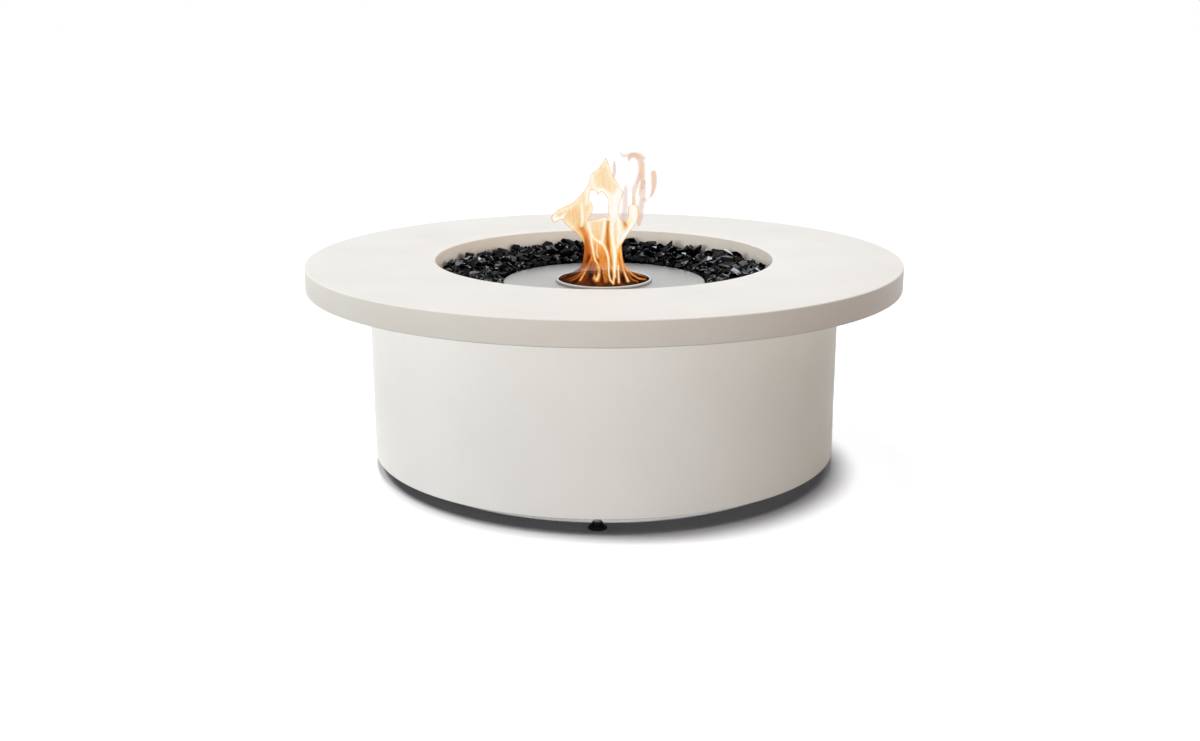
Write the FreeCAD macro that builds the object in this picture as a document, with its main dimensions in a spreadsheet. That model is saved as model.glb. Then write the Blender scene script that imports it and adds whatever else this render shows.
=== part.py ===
import FreeCAD, Part
import math
import os
import random
import re

import Sketcher
from FreeCAD import Placement, Rotation, Vector

# A round fire table. It stands on the plane Z = 0, and Z runs up its centre line. Sizes are in
# millimetres, and the front of the table faces -Y.

SIZES = {
    # Table top: a cast disc with a downturned rim and a round well
    "table_height": 435,
    "top_diameter": 1250,
    "deck_thickness": 20,
    "rim_depth": 50,
    "rim_wall": 20,
    "rim_draft": 3,
    "edge_bevel": 2.5,
    "opening_diameter": 712,
    "well_wall": 14,
    "ledge_width": 22,
    "ledge_thickness": 18,
    # Cast land under the deck, which the drum carries, and the ribs each side of it
    "land_depth": 12,
    "land_margin": 6,
    "rib_count": 8,
    "rib_thickness": 14,
    "rib_depth": 24,
    "rib_root": 1,
    "rib_end_gap": 4,
    # Base drum, open at the bottom
    "foot_height": 25,
    "drum_diameter": 988,
    "drum_wall": 14,
    "top_flange_thickness": 18,
    "foot_flange_thickness": 34,
    "drum_corner": 10,
    # Bedding strip and the bolts between drum and top
    "strip_thickness": 3,
    "strip_width": 20,
    "strip_inset": 6,
    "bolt_inset": 47,
    "bolt_edge": 17,
    "bolt_count": 4,
    "bolt_radius": 4,
    "bolt_clearance": 0.5,
    "bolt_grip": 16,
    "bolt_head_flats": 13,
    "bolt_head_height": 5.3,
    "washer_radius": 8,
    "washer_thickness": 1.6,
    "insert_flats": 13,
    "insert_length": 22,
    # Levelling feet
    "foot_inset": 24,
    "foot_edge": 32,
    "foot_count": 4,
    "pad_radius": 18.5,
    "pad_rim": 3,
    "pad_neck_radius": 9.5,
    "pad_height": 13,
    "pad_floor": 5,
    "stud_radius": 5,
    "stud_length": 61,
    "stud_point": 1,
    "stud_fit": 0.05,
    "stud_collar_flats": 14,
    "lock_nut_flats": 17,
    "lock_nut_height": 6,
    "foot_insert_flats": 17,
    "foot_insert_length": 30,
    # Insert tray
    "sheet_thickness": 2,
    "tray_gap": 4,
    "tray_wall_height": 24,
    "collar_gap": 5,
    "collar_height": 23,
    "collar_flange": 6,
    "drain_count": 4,
    "drain_radius": 4,
    # Burner
    "plate_radius": 215,
    "plate_drop": 53,
    "plate_skirt": 8,
    "plate_bevel": 1,
    "plate_overhang": 15,
    "mouth_radius": 98,
    "casing_depth": 112,
    "casing_corner": 14,
    "neck_depth": 50,
    "neck_lip": 8,
    "vent_count": 18,
    "vent_width": 5,
    "vent_height": 18,
    "vent_drop": 14,
    "baffle_thickness": 1.5,
    "baffle_gap": 0.5,
    "fill_radius": 34,
    "slot_count": 24,
    "slot_width": 5,
    "slot_length": 22,
    "slot_edge": 13.5,
    "level_inset": 14,
    "level_width": 8,
    "level_step": 2,
    "level_thickness": 1.5,
    "level_clearance": 12,
    # Efficiency ring
    "ring_gap": 0.3,
    "ring_wall": 1.5,
    "ring_skirt": 30,
    "ring_lip": 4,
    "ring_height": 6,
    "ring_bevel": 2,
    # Fire glass
    "glass_gap": 1,
    "bed_gap": 0.3,
    "bed_rise": 8,
    "chip_pitch": 33,
    "chip_spacing": 1.5,
    "chip_height": 18,
}

# The least and the most that a chunk of glass takes of its room, for its lie in degrees, its
# height, its low end's share of that height, and how far its top edge draws in
CHIP_TURN = (35, 55)
CHIP_TALL = (0.6, 1)
CHIP_LOW = (0.25, 0.7)
CHIP_INSET = (0.02, 0.35)
CHIP_SEED = 11

# Places that several pieces share, as formulas of the sizes above
RIM = "(top_diameter / 2)"
OPENING = "(opening_diameter / 2)"
DRUM = "(drum_diameter / 2)"
TOP = "table_height"
RIM_BOTTOM = "(table_height - rim_depth)"
DECK_BOTTOM = "(table_height - deck_thickness)"
LAND_BOTTOM = f"({DECK_BOTTOM} - land_depth)"
LAND_OUTER = f"({DRUM} + land_margin)"
BOLT_CIRCLE = f"({DRUM} - bolt_inset)"
LAND_INNER = f"({BOLT_CIRCLE} - bolt_edge)"
DRUM_TOP = f"({LAND_BOTTOM} - strip_thickness)"
FLANGE_BOTTOM = f"({DRUM_TOP} - top_flange_thickness)"
WASHER_BOTTOM = f"({FLANGE_BOTTOM} - washer_thickness)"
DRUM_BOTTOM = "foot_height"
DRUM_INSIDE = f"({DRUM} - drum_wall)"
FOOT_CIRCLE = f"({DRUM} - foot_inset)"
FOOT_FLANGE_INNER = f"({FOOT_CIRCLE} - foot_edge)"
FOOT_FLANGE_TOP = f"({DRUM_BOTTOM} + foot_flange_thickness)"
PLATE_TOP = "(table_height - plate_drop)"
PLATE_BOTTOM = f"({PLATE_TOP} - sheet_thickness)"
LEDGE_TOP = f"({PLATE_BOTTOM} - collar_height)"
WELL_BOTTOM = f"({LEDGE_TOP} - ledge_thickness)"
TRAY_OUTER = f"({OPENING} - tray_gap)"
TRAY_INSIDE = f"({TRAY_OUTER} - sheet_thickness)"
TRAY_FLOOR = f"({LEDGE_TOP} + sheet_thickness)"
CASING = "(plate_radius - plate_overhang)"
COLLAR = f"({CASING} + collar_gap)"
CASING_BOTTOM = f"({PLATE_BOTTOM} - casing_depth)"
NECK_BOTTOM = f"({PLATE_BOTTOM} - neck_depth)"
BAFFLE_BOTTOM = f"({NECK_BOTTOM} + sheet_thickness)"
BAFFLE_EDGE = "(mouth_radius - baffle_gap)"
BED_TOP = f"({PLATE_TOP} + bed_rise)"
BED_INNER = "(plate_radius + glass_gap)"
BED_OUTER = f"({TRAY_INSIDE} - bed_gap)"
STUD_BORE = "(stud_radius + stud_fit)"
FRONT = "270 deg"
NEAR = 0.01

doc = FreeCAD.newDocument("fire_table")
sheet = doc.addObject("Spreadsheet::Sheet", "Sizes")
for row, (alias, value) in enumerate(SIZES.items(), start=1):
    sheet.set(f"A{row}", alias)
    sheet.set(f"B{row}", str(value))
    sheet.setAlias(f"B{row}", alias)
doc.recompute()

nodes = []


def bound(formula):
    """The formula with each size's name pointed at its cell in the sheet."""
    return re.sub(r"[a-z_]+", lambda word: "Sizes." * (word[0] in SIZES) + word[0], formula)


def size(formula):
    """The formula's value in millimetres."""
    return float(sheet.evalExpression(bound(formula)))


def new_body(label):
    """An empty body that becomes one node."""
    body = doc.addObject("PartDesign::Body", label)
    body.Label = label
    nodes.append(body)
    return body


def sketch_on(body, role, height="0"):
    """An empty sketch on one of the body's own planes, moved along the plane's normal by height."""
    sketch = body.newObject("Sketcher::SketchObject", f"{body.Label}_sketch")
    plane = next(o for o in body.Origin.OriginFeatures if o.Role == role)
    sketch.AttachmentSupport = (plane, [""])
    sketch.MapMode = "FlatFace"
    sketch.setExpression("AttachmentOffset.Base.z", bound(height))
    return sketch


def place_point(sketch, geometry, point, across, up):
    """Ties a point of the sketch to two formulas, measured from the sketch's origin."""
    for kind, formula in (("DistanceX", across), ("DistanceY", up)):
        tie = Sketcher.Constraint(kind, -1, 1, geometry, point, size(formula))
        index = sketch.addConstraint(tie)
        sketch.setExpression(f"Constraints[{index}]", bound(formula))


def draw_outline(sketch, corners):
    """Draws a closed outline of straight runs through the corners, each a pair of formulas."""
    points = [Vector(size(across), size(up), 0) for across, up in corners]
    count = len(corners)
    first = len(sketch.Geometry)
    for i in range(count):
        sketch.addGeometry(Part.LineSegment(points[i], points[(i + 1) % count]), False)
    for i in range(count):
        following = first + (i + 1) % count
        sketch.addConstraint(Sketcher.Constraint("Coincident", first + i, 2, following, 1))
    for i, (across, up) in enumerate(corners):
        place_point(sketch, first + i, 1, across, up)


def draw_circle(sketch, radius, across="0", up="0"):
    """Draws a circle about the point (across, up)."""
    centre = Vector(size(across), size(up), 0)
    circle = sketch.addGeometry(Part.Circle(centre, Vector(0, 0, 1), size(radius)), False)
    place_point(sketch, circle, 3, across, up)
    index = sketch.addConstraint(Sketcher.Constraint("Radius", circle, size(radius)))
    sketch.setExpression(f"Constraints[{index}]", bound(radius))


def draw_hexagon(sketch, flats, across="0", up="0"):
    """Draws a hexagon of this size across flats about the point (across, up)."""
    corners = []
    for side in range(6):
        turn = f"{60 * side + 30} deg"
        corner = f"({flats}) / 2 / cos(30 deg)"
        corners.append((f"{across} + {corner} * cos({turn})", f"{up} + {corner} * sin({turn})"))
    draw_outline(sketch, corners)


def draw_rectangle(sketch, left, right, low, high):
    """Draws a rectangle between four formulas."""
    draw_outline(sketch, [(left, low), (right, low), (right, high), (left, high)])


def draw_spoke(sketch, start, end, width, turn):
    """Draws a rectangle that runs outwards from the centre between two radii, at the angle turn."""
    corners = []
    for radius, side in ((start, "-"), (end, "-"), (end, "+"), (start, "+")):
        across = f"({radius}) * cos({turn}) - ({side}{width} / 2) * sin({turn})"
        up = f"({radius}) * sin({turn}) + ({side}{width} / 2) * cos({turn})"
        corners.append((across, up))
    draw_outline(sketch, corners)


def turned(label, corners):
    """A body spun about the vertical axis from corners of (radius, height)."""
    body = new_body(label)
    sketch = sketch_on(body, "XZ_Plane")
    draw_outline(sketch, corners)
    spin = body.newObject("PartDesign::Revolution", f"{label}_spin")
    spin.Profile = sketch
    spin.ReferenceAxis = (sketch, ["V_Axis"])
    spin.Angle = 360
    doc.recompute()
    return body


def padded(body, sketch, length, downwards=False):
    """Adds the sketch's outline to the body as a prism."""
    pad = body.newObject("PartDesign::Pad", f"{body.Label}_pad")
    pad.Profile = sketch
    pad.Reversed = downwards
    pad.setExpression("Length", bound(length))
    doc.recompute()
    return pad


def pocketed(body, sketch, length, upwards=False, both_ways=False):
    """Cuts the sketch's outline out of the body, and checks that it took something away."""
    before = body.Shape.Volume
    pocket = body.newObject("PartDesign::Pocket", f"{body.Label}_pocket")
    pocket.Profile = sketch
    pocket.Reversed = upwards
    if both_ways:
        pocket.SideType = "Symmetric"
    pocket.setExpression("Length", bound(length))
    doc.recompute()
    if body.Shape.Volume > before - NEAR:
        raise ValueError(f"{body.Label}: a pocket cuts nothing")
    return pocket


def repeated_round(body, features, count, angle=360):
    """Repeats the features evenly about the body's vertical axis."""
    pattern = body.newObject("PartDesign::PolarPattern", f"{body.Label}_pattern")
    pattern.Originals = features
    axis = next(o for o in body.Origin.OriginFeatures if o.Role == "Z_Axis")
    pattern.Axis = (axis, [""])
    pattern.Angle = angle
    pattern.setExpression("Occurrences", bound(count))
    body.Tip = pattern
    doc.recompute()
    return pattern


def ring_edges(body, rings):
    """The names of the body's round edges at these places, each (radius, height)."""
    names = []
    for radius, height in rings:
        for number, edge in enumerate(body.Shape.Edges, start=1):
            circle = edge.Curve
            if not isinstance(circle, Part.Circle):
                continue
            fits_radius = abs(circle.Radius - size(radius)) < NEAR
            fits_height = abs(circle.Center.z - size(height)) < NEAR
            on_axis = math.hypot(circle.Center.x, circle.Center.y) < NEAR
            if fits_radius and fits_height and on_axis:
                names.append(f"Edge{number}")
    if len(names) < len(rings):
        raise ValueError(f"{body.Label}: an edge to bevel is missing")
    return names


def bevelled(body, extent, rings):
    """Bevels the body's round edges at these places, each (radius, height)."""
    base, names = body.Tip, ring_edges(body, rings)
    bevel = body.newObject("PartDesign::Chamfer", f"{body.Label}_bevel")
    bevel.Base = (base, names)
    bevel.setExpression("Size", bound(extent))
    body.Tip = bevel
    doc.recompute()


def fasteners(label, circle, count, start, layers):
    """Like pieces set evenly round the centre line as separate solids.

    Each layer is (bottom, thickness, draw, width, bore): draw makes its outline from width, and bore
    is a hole's radius or None.
    """
    body = new_body(label)
    across, up = f"{circle} * cos({start})", f"{circle} * sin({start})"
    pads = []
    for bottom, thickness, draw, width, bore in layers:
        sketch = sketch_on(body, "XY_Plane", bottom)
        draw(sketch, width, across, up)
        if bore:
            draw_circle(sketch, bore, across, up)
        pads.append(padded(body, sketch, thickness))
    repeated_round(body, pads, count)


def table_top():
    """The cast top: deck, rim, land for the drum, well wall with its ledge, and ribs below."""
    body = turned("table_top", [
        (OPENING, TOP),
        (RIM, TOP),
        (RIM, RIM_BOTTOM),
        (f"{RIM} - rim_wall", RIM_BOTTOM),
        (f"{RIM} - rim_wall - rim_draft", DECK_BOTTOM),
        (LAND_OUTER, DECK_BOTTOM),
        (LAND_OUTER, LAND_BOTTOM),
        (LAND_INNER, LAND_BOTTOM),
        (LAND_INNER, DECK_BOTTOM),
        (f"{OPENING} + well_wall", DECK_BOTTOM),
        (f"{OPENING} + well_wall", WELL_BOTTOM),
        (f"{OPENING} - ledge_width", WELL_BOTTOM),
        (f"{OPENING} - ledge_width", LEDGE_TOP),
        (OPENING, LEDGE_TOP),
    ])
    rib_ends = [
        (f"{LAND_OUTER} - rib_root", f"{RIM} - rim_wall"),
        (f"{OPENING} + well_wall / 2", f"{LAND_INNER} - rib_end_gap"),
    ]
    for start, end in rib_ends:
        sketch = sketch_on(body, "XY_Plane", DECK_BOTTOM)
        draw_spoke(sketch, start, end, "rib_thickness", "180 deg / rib_count")
        rib = padded(body, sketch, "rib_depth", downwards=True)
        repeated_round(body, [rib], "rib_count")
    sketch = sketch_on(body, "XY_Plane", LAND_BOTTOM)
    start = "180 deg / bolt_count"
    draw_hexagon(sketch, "insert_flats", f"{BOLT_CIRCLE} * cos({start})",
                 f"{BOLT_CIRCLE} * sin({start})")
    hole = pocketed(body, sketch, "insert_length", upwards=True)
    repeated_round(body, [hole], "bolt_count")
    bevelled(body, "edge_bevel", [(RIM, TOP), (RIM, RIM_BOTTOM), (OPENING, TOP)])


def base_drum():
    """The cast drum, with a flange at the top for the bolts and one at the bottom for the feet."""
    body = turned("base_drum", [
        (DRUM, DRUM_BOTTOM),
        (DRUM, DRUM_TOP),
        (LAND_INNER, DRUM_TOP),
        (LAND_INNER, FLANGE_BOTTOM),
        (DRUM_INSIDE, FLANGE_BOTTOM),
        (DRUM_INSIDE, FOOT_FLANGE_TOP),
        (FOOT_FLANGE_INNER, FOOT_FLANGE_TOP),
        (FOOT_FLANGE_INNER, DRUM_BOTTOM),
    ])
    start = "180 deg / bolt_count"
    sketch = sketch_on(body, "XY_Plane", DRUM_TOP)
    draw_circle(sketch, "bolt_radius + bolt_clearance", f"{BOLT_CIRCLE} * cos({start})",
                f"{BOLT_CIRCLE} * sin({start})")
    hole = pocketed(body, sketch, "top_flange_thickness")
    repeated_round(body, [hole], "bolt_count")
    sketch = sketch_on(body, "XY_Plane", DRUM_BOTTOM)
    draw_hexagon(sketch, "foot_insert_flats", f"{FOOT_CIRCLE} * cos({FRONT})",
                 f"{FOOT_CIRCLE} * sin({FRONT})")
    hole = pocketed(body, sketch, "foot_flange_thickness", upwards=True)
    repeated_round(body, [hole], "foot_count")
    bevelled(body, "edge_bevel", [(DRUM, DRUM_BOTTOM)])
    bevelled(body, "drum_corner", [(DRUM_INSIDE, FLANGE_BOTTOM)])


def top_fixings():
    """The soft strip between drum and top, and the bolts that draw them together."""
    outer = f"({DRUM} - strip_inset)"
    turned("bedding_strip", [
        (f"{outer} - strip_width", DRUM_TOP),
        (outer, DRUM_TOP),
        (outer, LAND_BOTTOM),
        (f"{outer} - strip_width", LAND_BOTTOM),
    ])
    place = (BOLT_CIRCLE, "bolt_count", "180 deg / bolt_count")
    head = (f"{WASHER_BOTTOM} - bolt_head_height", "bolt_head_height", draw_hexagon,
            "bolt_head_flats", None)
    shank = (WASHER_BOTTOM, f"{LAND_BOTTOM} + bolt_grip - {WASHER_BOTTOM}", draw_circle,
             "bolt_radius", None)
    fasteners("top_bolts", *place, [head, shank])
    fasteners("top_washers", *place, [
        (WASHER_BOTTOM, "washer_thickness", draw_circle, "washer_radius",
         "bolt_radius + bolt_clearance"),
    ])
    fasteners("top_inserts", *place, [
        (LAND_BOTTOM, "insert_length", draw_hexagon, "insert_flats", "bolt_radius + stud_fit"),
    ])


def foot_fixings():
    """The threaded inserts in the drum's bottom flange, and the lock nuts under them."""
    place = (FOOT_CIRCLE, "foot_count", FRONT)
    fasteners("foot_inserts", *place, [
        (DRUM_BOTTOM, "foot_insert_length", draw_hexagon, "foot_insert_flats", STUD_BORE),
    ])
    fasteners("lock_nuts", *place, [
        (f"{DRUM_BOTTOM} - lock_nut_height", "lock_nut_height", draw_hexagon, "lock_nut_flats",
         STUD_BORE),
    ])


def levelling_foot(side, angle):
    """One foot: a conical pad on the floor, and the stud that turns in the pad's socket."""
    pad = turned(f"foot_pad_{side}", [
        ("0", "0"),
        ("pad_radius", "0"),
        ("pad_radius", "pad_rim"),
        ("pad_neck_radius", "pad_height"),
        (STUD_BORE, "pad_height"),
        (STUD_BORE, "pad_floor"),
        ("0", "pad_floor"),
    ])
    stud_top = "(pad_floor + stud_length)"
    stud = turned(f"foot_stud_{side}", [
        ("0", "pad_floor"),
        ("stud_radius", "pad_floor"),
        ("stud_radius", f"{stud_top} - stud_point"),
        ("stud_radius - stud_point", stud_top),
        ("0", stud_top),
    ])
    sketch = sketch_on(stud, "XY_Plane", "pad_height")
    draw_hexagon(sketch, "stud_collar_flats")
    padded(stud, sketch, f"{DRUM_BOTTOM} - lock_nut_height - pad_height")
    for piece in (pad, stud):
        piece.setExpression("Placement.Base.x", bound(f"{FOOT_CIRCLE} * cos({angle})"))
        piece.setExpression("Placement.Base.y", bound(f"{FOOT_CIRCLE} * sin({angle})"))


def insert_tray():
    """The ring-shaped pan that stands on the well's ledge, with a flanged collar for the burner."""
    body = turned("insert_tray", [
        (COLLAR, LEDGE_TOP),
        (TRAY_OUTER, LEDGE_TOP),
        (TRAY_OUTER, f"{LEDGE_TOP} + tray_wall_height"),
        (TRAY_INSIDE, f"{LEDGE_TOP} + tray_wall_height"),
        (TRAY_INSIDE, TRAY_FLOOR),
        (f"{COLLAR} + sheet_thickness", TRAY_FLOOR),
        (f"{COLLAR} + sheet_thickness", f"{PLATE_BOTTOM} - sheet_thickness"),
        (f"{COLLAR} + collar_flange", f"{PLATE_BOTTOM} - sheet_thickness"),
        (f"{COLLAR} + collar_flange", PLATE_BOTTOM),
        (COLLAR, PLATE_BOTTOM),
    ])
    sketch = sketch_on(body, "XY_Plane", TRAY_FLOOR)
    draw_circle(sketch, "drain_radius", f"({COLLAR} + {TRAY_OUTER}) / 2")
    hole = pocketed(body, sketch, "sheet_thickness")
    repeated_round(body, [hole], "drain_count")


def burner():
    """The fuel casing, its top plate, the vented neck under the mouth and what stands in it."""
    casing = turned("burner_casing", [
        ("0", CASING_BOTTOM),
        (CASING, CASING_BOTTOM),
        (CASING, PLATE_BOTTOM),
        (f"{CASING} - sheet_thickness", PLATE_BOTTOM),
        (f"{CASING} - sheet_thickness", f"{CASING_BOTTOM} + sheet_thickness"),
        ("0", f"{CASING_BOTTOM} + sheet_thickness"),
    ])
    inner_corner = (f"{CASING} - sheet_thickness", f"{CASING_BOTTOM} + sheet_thickness")
    bevelled(casing, "casing_corner", [(CASING, CASING_BOTTOM)])
    bevelled(casing, "casing_corner - (2 - sqrt(2)) * sheet_thickness", [inner_corner])

    plate = turned("burner_top_plate", [
        ("mouth_radius", PLATE_BOTTOM),
        ("plate_radius - sheet_thickness", PLATE_BOTTOM),
        ("plate_radius - sheet_thickness", f"{PLATE_TOP} - plate_skirt"),
        ("plate_radius", f"{PLATE_TOP} - plate_skirt"),
        ("plate_radius", PLATE_TOP),
        ("mouth_radius", PLATE_TOP),
    ])
    bevelled(plate, "plate_bevel", [("plate_radius", PLATE_TOP)])

    neck = turned("burner_neck", [
        ("mouth_radius", PLATE_BOTTOM),
        ("mouth_radius + sheet_thickness", PLATE_BOTTOM),
        ("mouth_radius + sheet_thickness", NECK_BOTTOM),
        ("mouth_radius - neck_lip", NECK_BOTTOM),
        ("mouth_radius - neck_lip", BAFFLE_BOTTOM),
        ("mouth_radius", BAFFLE_BOTTOM),
    ])
    sketch = sketch_on(neck, "YZ_Plane")
    vent_top = f"({PLATE_BOTTOM} - vent_drop)"
    draw_rectangle(sketch, "-vent_width / 2", "vent_width / 2", f"{vent_top} - vent_height", vent_top)
    vent = pocketed(neck, sketch, "2 * mouth_radius + 4 * sheet_thickness", both_ways=True)
    repeated_round(neck, [vent], "vent_count / 2", angle=180)

    baffle = turned("flame_baffle", [
        ("fill_radius", BAFFLE_BOTTOM),
        (BAFFLE_EDGE, BAFFLE_BOTTOM),
        (BAFFLE_EDGE, f"{BAFFLE_BOTTOM} + baffle_thickness"),
        ("fill_radius", f"{BAFFLE_BOTTOM} + baffle_thickness"),
    ])
    sketch = sketch_on(baffle, "XY_Plane", f"{BAFFLE_BOTTOM} + baffle_thickness")
    slot_end = f"{BAFFLE_EDGE} - slot_edge"
    draw_spoke(sketch, f"{slot_end} - slot_length", slot_end, "slot_width", "0 deg")
    slot = pocketed(baffle, sketch, "baffle_thickness")
    repeated_round(baffle, [slot], "slot_count")

    level = new_body("fuel_level_strip")
    sketch = sketch_on(level, "XZ_Plane")
    floor = f"({CASING_BOTTOM} + sheet_thickness + level_clearance)"
    drop = f"({BAFFLE_BOTTOM} - {floor}) / 3"
    start = "(fill_radius + level_inset)"
    edge = f"({start} + level_width)"
    draw_outline(sketch, [
        (start, BAFFLE_BOTTOM),
        (start, floor),
        (f"{edge} - 2 * level_step", floor),
        (f"{edge} - 2 * level_step", f"{BAFFLE_BOTTOM} - 2 * {drop}"),
        (f"{edge} - level_step", f"{BAFFLE_BOTTOM} - 2 * {drop}"),
        (f"{edge} - level_step", f"{BAFFLE_BOTTOM} - {drop}"),
        (edge, f"{BAFFLE_BOTTOM} - {drop}"),
        (edge, BAFFLE_BOTTOM),
    ])
    pad = padded(level, sketch, "level_thickness")
    pad.SideType = "Symmetric"


def efficiency_ring():
    """The loose ring in the burner mouth: a rounded bead on the plate and a skirt down the neck."""
    inner = "(mouth_radius - ring_gap - ring_wall)"
    bead_top = f"({PLATE_TOP} + ring_height)"
    body = turned("efficiency_ring", [
        (inner, f"{PLATE_TOP} - ring_skirt"),
        ("mouth_radius - ring_gap", f"{PLATE_TOP} - ring_skirt"),
        ("mouth_radius - ring_gap", PLATE_TOP),
        ("mouth_radius + ring_lip", PLATE_TOP),
        ("mouth_radius + ring_lip", bead_top),
        (inner, bead_top),
    ])
    bevelled(body, "ring_bevel", [(inner, bead_top), ("mouth_radius + ring_lip", bead_top)])


def glass_bed():
    """The lower layers of fire glass as one ring that fills the tray."""
    turned("glass_bed", [
        (BED_INNER, TRAY_FLOOR),
        (BED_OUTER, TRAY_FLOOR),
        (BED_OUTER, BED_TOP),
        (BED_INNER, BED_TOP),
    ])


def glass_chip(rng):
    """A broken chunk of glass: a wedge that lies on its flat side, inside a circle of chip_pitch."""
    half = (size("chip_pitch") - size("chip_spacing")) / 2
    turn = math.radians(rng.uniform(*CHIP_TURN))
    long_side, short_side = 2 * half * math.cos(turn), 2 * half * math.sin(turn)
    tall = size("chip_height") * rng.uniform(*CHIP_TALL)
    low = tall * rng.uniform(*CHIP_LOW)
    inset_left = long_side * rng.uniform(*CHIP_INSET)
    inset_right = long_side * rng.uniform(*CHIP_INSET)
    return Part.makeWedge(
        -long_side / 2, -short_side / 2, 0, 0, -long_side / 2 + inset_left,
        long_side / 2, short_side / 2, tall, low, long_side / 2 - inset_right,
    )


def glass_chips():
    """The top layer of fire glass: chunks in rows round the burner, each lying on the bed."""
    rng = random.Random(CHIP_SEED)
    pitch = size("chip_pitch")
    first, last = size(BED_INNER) + pitch / 2, size(BED_OUTER) - pitch / 2
    rows = int((last - first) / pitch) + 1
    chips = []
    for row in range(rows):
        radius = first + (last - first) * row / max(rows - 1, 1)
        count = int(2 * math.pi / (2 * math.asin(pitch / 2 / radius)))
        start = rng.uniform(0, 360)
        for number in range(count):
            angle = math.radians(start + 360 * number / count)
            spot = Vector(radius * math.cos(angle), radius * math.sin(angle), size(BED_TOP))
            chip = glass_chip(rng)
            chip.Placement = Placement(spot, Rotation(Vector(0, 0, 1), rng.uniform(0, 360)))
            chips.append(chip)
    group = doc.addObject("Part::Feature", "glass_chips")
    group.Label = "glass_chips"
    group.Shape = Part.makeCompound(chips)
    nodes.append(group)


def check_and_export():
    """Stops on any failed object or shape, then writes one file for each node."""
    doc.recompute()
    for piece in doc.Objects:
        if "Invalid" in piece.State or "Error" in piece.State:
            raise ValueError(f"{piece.Label} failed: {piece.State}")
    for node in nodes:
        if node.Shape.isNull() or not node.Shape.isValid() or not node.Shape.Solids:
            raise ValueError(f"{node.Label} has no valid solid")
    os.makedirs("parts", exist_ok=True)
    for node in nodes:
        node.Shape.exportStep(f"parts/{node.Label}.step")
        litres = node.Shape.Volume / 1e6
        print(f"{node.Label}: {len(node.Shape.Solids)} solid(s), {litres:.3f} litres")


table_top()
base_drum()
top_fixings()
foot_fixings()
for side_name, side_angle in (("front", FRONT), ("right", "0 deg"), ("back", "90 deg"),
                              ("left", "180 deg")):
    levelling_foot(side_name, side_angle)
insert_tray()
glass_bed()
glass_chips()
burner()
efficiency_ring()
check_and_export()
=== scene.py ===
import math
import random

import bmesh
import bpy
import numpy as np
from mathutils import Euler, Matrix, Vector


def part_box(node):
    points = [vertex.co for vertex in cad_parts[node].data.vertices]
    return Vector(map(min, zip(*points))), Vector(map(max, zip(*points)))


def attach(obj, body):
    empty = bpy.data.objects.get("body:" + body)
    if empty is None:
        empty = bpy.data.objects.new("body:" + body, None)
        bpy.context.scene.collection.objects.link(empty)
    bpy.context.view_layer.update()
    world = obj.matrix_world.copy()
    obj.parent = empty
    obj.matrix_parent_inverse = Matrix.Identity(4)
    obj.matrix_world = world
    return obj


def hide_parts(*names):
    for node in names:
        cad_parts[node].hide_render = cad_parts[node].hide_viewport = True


# The look of a round bioethanol fire table. Sizes are in metres unless told otherwise, +Z is up and the
# front faces -Y.

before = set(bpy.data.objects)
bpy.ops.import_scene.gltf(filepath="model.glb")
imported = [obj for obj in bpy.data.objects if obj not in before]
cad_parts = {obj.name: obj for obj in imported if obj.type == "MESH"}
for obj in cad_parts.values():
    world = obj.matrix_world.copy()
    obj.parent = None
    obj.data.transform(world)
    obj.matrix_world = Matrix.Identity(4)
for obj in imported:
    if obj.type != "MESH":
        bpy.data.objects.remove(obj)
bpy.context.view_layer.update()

MM = 0.001
PHOTO_WIDTH = 1200

# How finely the shapes are made: steps of a full turn, segments of a round, and how near two points are one
STEPS = 240
HARDWARE_STEPS = 48
THREAD_STEPS = 24
ROUND_SEGMENTS = 4
RIB_SEGMENTS = 2
DRAIN_SEGMENTS = 32
SLOT_SEGMENTS = 8
SAME_POINT = 1e-6
ON_THE_CUT = 1e-7


def top_of(node):
    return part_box(node)[1].z


def foot_of(node):
    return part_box(node)[0].z


def reach_of(node):
    """The node's outer radius about the table's centre line."""
    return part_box(node)[1].x


# Places read from the frame
TABLE_TOP = top_of("table_top")
WELL_BOTTOM = foot_of("table_top")
RIM = reach_of("table_top")
DRUM = reach_of("base_drum")
DRUM_TOP = top_of("base_drum")
DRUM_BOTTOM = foot_of("base_drum")
STRIP_TOP = top_of("bedding_strip")
STRIP_OUTER = reach_of("bedding_strip")
TRAY = reach_of("insert_tray")
TRAY_BOTTOM = foot_of("insert_tray")
TRAY_TOP = top_of("insert_tray")
BED_OUTER = reach_of("glass_bed")
GLASS_TOP = top_of("glass_chips")
PLATE = reach_of("burner_top_plate")
PLATE_TOP = top_of("burner_top_plate")
PLATE_BOTTOM = foot_of("burner_top_plate")
CASING = reach_of("burner_casing")
CASING_TOP = top_of("burner_casing")
CASING_BOTTOM = foot_of("burner_casing")
NECK_BOTTOM = foot_of("burner_neck")
RING = reach_of("efficiency_ring")
RING_TOP = top_of("efficiency_ring")
RING_BOTTOM = foot_of("efficiency_ring")

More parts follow.
